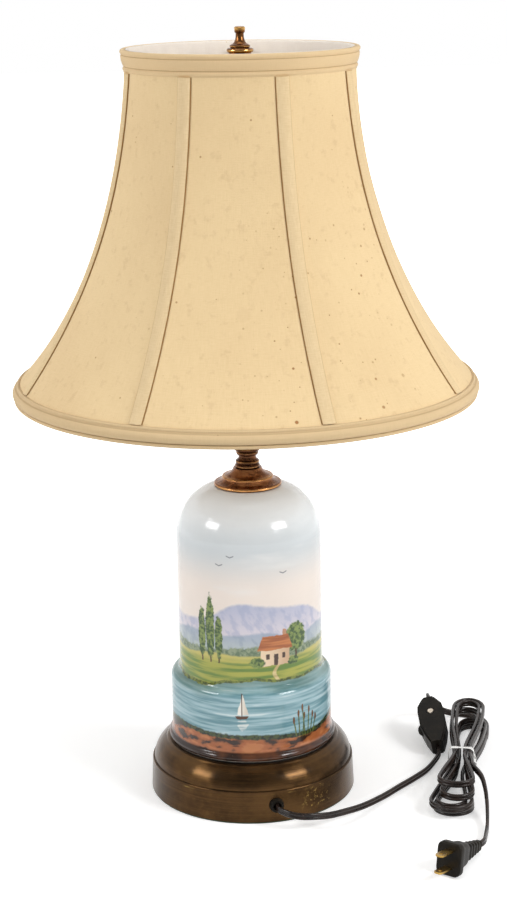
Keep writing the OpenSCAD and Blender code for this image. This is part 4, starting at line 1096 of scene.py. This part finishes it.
# %% Felt under the base
felt, shader, place = new_finish("felt")
fuzz = grain(place, 0.0009, 4, 0.7) + grain(place, 0.012) * 0.5
fill(shader, Base_Color=fuzz.tone(0.5, 1.0, (34, 48, 32), (70, 86, 60)),
    Roughness=0.95, Sheen_Weight=0.3)
bump(shader, fuzz, 0.0004)

HOLE, ROUNDING, SOFT_EDGE, GLUE = 0.4, 0.6, 0.8, 0.03
_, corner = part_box("felt_pad")
reach, tall = corner.x / MM, corner.z / MM
profile = ([(HOLE, 0), (reach * 0.5, 0)] + arc((reach - ROUNDING, ROUNDING), ROUNDING, -90, 0, 4)
    + [(reach, tall * 0.9), (reach - SOFT_EDGE, tall - GLUE), (HOLE, tall - GLUE)])
make_piece("felt_disc", turned(profile, 128), felt, "lamp", "felt", "felt_pad")
print("felt disc: radius %.1f mm, %.1f mm thick" % (reach, tall))

# %% [markdown]
# ## Inner cord
# The cord runs on inside the base, bends up and climbs the pipe to the socket. It is out of sight,
# and it is still there when the base is turned over. It takes the same grooved section as outside,
# and only its own bend is new: a quarter circle from the bushing into the pipe.

# %% Inner cord
BEND, CLIMB, CLIMB_STEPS = 14.8, 271.8, 24
inner_line = [mouth_way * d + HOLE_HEIGHT for d in (76.7, 70, 60, 45, 30, BEND + 6)]
for degrees in range(0, 91, 6):
    a = radians(degrees)
    risen = Vector((0, 0, BEND * (1 - cos(a))))
    inner_line.append(mouth_way * (BEND * (1 - sin(a))) + HOLE_HEIGHT + risen)
for i in range(1, CLIMB_STEPS + 1):
    inner_line.append(HOLE_HEIGHT + Vector((0, 0, BEND + CLIMB * i / CLIMB_STEPS)))
sideways = Vector((cos(HOLE_TURN), sin(HOLE_TURN), 0))
make_piece("cord_inside", swept(inner_line, twin_section, sideways), cord_cover, "lamp",
    "cord_cover", "inner_cord", crease=60)
print("inner cord: %.3f m" % length_of(inner_line))

# %% [markdown]
# ## Plug
# The plug is a moulded black block with a flange to grip, a waist, and a ribbed boot that keeps the
# cord from kinking. It could be sculpted, but a row of rounded rectangles skinned one to the next
# follows the solid closely, and a closer spacing of the rings at each edge gives it round corners.

# %% Plug body
BOOT_START, BOOT_LONG, BOOT_RINGS, RINGS_PER_RIB = -24, 22, 36, 8
BOOT_END, BOOT_MORE, BOOT_CORNER, RIB = (5, 7.2), (4, 5), 2.3, 0.6
# Each ring: place along the plug, width, height, radius of its corners.
PLUG = [(0, 17.6, 22.6, 3.6), (0, 18.4, 23.4, 4.2), (-0.25, 19.2, 24.2, 4.6), (-0.8, 19.8, 24.8, 5),
    (-1.4, 20, 25, 5), (-5.0, 20, 25, 5), (-5.6, 19.7, 24.7, 4.9), (-6.2, 18.8, 23.9, 4.5),
    (-6.7, 17.6, 23, 4.2), (-7.4, 15.6, 22.2, 4.1), (-8.4, 14.2, 21.5, 4), (-11, 12.9, 20.6, 3.9),
    (-15, 12, 19.6, 3.8), (-18, 11.6, 18.5, 3.6), (-20, 11.2, 17.4, 3.4), (-21.8, 10.4, 15.4, 3),
    (-23, 9.6, 13.4, 2.6)]


def plug_ring(x, wide, high, corner):
    """A rounded rectangle across the plug, at a place along it."""
    ring = []
    for k, (sx, sy) in enumerate(((1, 1), (-1, 1), (-1, -1), (1, -1))):
        middle = (sx * (wide / 2 - corner), sy * (high / 2 - corner))
        ring += arc(middle, corner, 90 * k, 90 * k + 90, 6)
    return [Vector((x, a, b)) for a, b in ring]


rings = [plug_ring(*ring) for ring in PLUG]
for i in range(BOOT_RINGS + 1):
    share = 1 - i / BOOT_RINGS
    rib = RIB - RIB * cos(2 * pi * i / RINGS_PER_RIB) if share else 0
    along = BOOT_START - BOOT_LONG * i / BOOT_RINGS
    wide, high = (end + more * share + rib for end, more in zip(BOOT_END, BOOT_MORE))
    rings.append(plug_ring(along, wide, high, BOOT_CORNER))
to_plug = Matrix.Translation(plug_face) @ rotation(PLUG_TURN, "Z") @ rotation(-PLUG_TILT, "Y")
points = [to_plug @ p * MM for ring in rings for p in ring]
plug = make_piece("plug_moulded", (points, tube_faces(len(rings), len(rings[0]))), black_plastic,
    "lamp", "black_plastic", "plug_body", crease=50)
print("plug:", len(rings), "rings")

# %% [markdown]
# ## Tie
# A white plastic twist tie is wound twice round the waist of the hank, and its ends are twisted
# together at the right. Two flat strips swept round the bundle, a little askew to each other, and
# two twisted ends make it; a torus would float off the flat sides of the hank.

# %% Tie finish and its loop
tie_white, shader, place = new_finish("tie_white")
fill(shader, Base_Color=grain(place, 0.004).mix((232, 231, 228), (250, 250, 248)),
    Roughness=grain(place, 0.003) * 0.2 + 0.35)
bump(shader, grain(place, 0.0012, 2), 0.0001)

HALF, TALL, CORNER, FOOT = 9.49, 25.2, 3.0, 0.6
side, top = TALL - CORNER, HALF - CORNER
loop = ([(HALF, FOOT + (side - FOOT) * i / 8) for i in range(8)]
    + arc((top, side), CORNER, 0, 90, 6)
    + [(top - 2 * top * i / 8, TALL) for i in range(1, 8)]
    + arc((-top, side), CORNER, 90, 180, 6)
    + [(-HALF, side * (1 - i / 8) + FOOT * i / 8) for i in range(1, 9)])
print("tie loop: %.0f by %.0f mm inside" % (2 * HALF, TALL))

# %% Twist tie
STRIP = ((-1, 0.25), (-0.8, 0.8), (0, 1), (0.8, 0.8), (1, 0.25), (1, -0.25), (0.8, -0.4),
    (-0.8, -0.4))
STRIP_THICK, STRIP_WIDE, END_WIDE = 0.8, 2.7, 2.3
TWISTS, CURL, CURL_RADIUS, FACE_TURN = 16, 0.9, 0.5, 0.5
TWISTED = (((1.2, -1.2, 20), (2.6, -5.0, 8), 0), ((1.2, 1.2, 20), (2.4, -9.6, 13), 1.6))
on_floor = HANK_PLACE - Vector((0, 0, HANK_PLACE.z))
to_tie = (Matrix.Translation(on_floor) @ rotation(HANK_TURN, "Z")
    @ Matrix.Translation((0, WAIST, 0)))
points, faces = [], []


def add_strip(line, outs, wide):
    """Adds a flat strip on a line, with outs the way its face looks at each point."""
    faces.extend(tube_faces(len(line), len(STRIP), len(points)))
    for i, middle in enumerate(line):
        way = way_at(line, i)
        side = way.cross(outs[i]).normalized()
        up = side.cross(way)
        for a, b in STRIP:
            spot = middle + side * a * wide / 2 + up * b * STRIP_THICK / 2
            points.append(to_tie @ spot * MM)


for lean, stand in ((2.1, 0.45), (-1.7, 0.62)):
    line, outs = [], []
    for i, (a, b) in enumerate(loop):
        back, on = loop[max(i - 1, 0)], loop[min(i + 1, len(loop) - 1)]
        out = Vector((on[1] - back[1], 0, back[0] - on[0])).normalized()
        line.append(Vector((a, lean * cos(pi * i / len(loop)), b)) + out * stand)
        outs.append(out)
    add_strip(line, outs, STRIP_WIDE)
for start, end, phase in TWISTED:
    start, end = (Vector((HALF, 0, 0)) + Vector(p) for p in (start, end))
    line, outs = [], []
    for t in range(TWISTS + 1):
        curl, face = phase + t * CURL, phase + t * FACE_TURN
        spot = start.lerp(end, t / TWISTS)
        line.append(spot + Vector((CURL_RADIUS * cos(curl), CURL_RADIUS * sin(curl), 0)))
        outs.append(Vector((cos(face), sin(face), 0.2)))
    add_strip(line, outs, END_WIDE)
tie = make_piece("twist_tie", (points, faces), tie_white, "lamp", "tie_white", "cord_tie",
    crease=50)
print("tie:", len(tie.data.polygons), "faces")

# %% [markdown]
# ## Cord lengths
# The length of each free cord is worked out, with the points of its route in metres.

length_of(run_line)
[p * MM for p in run_line]
length_of(lead_line)
[p * MM for p in lead_line]
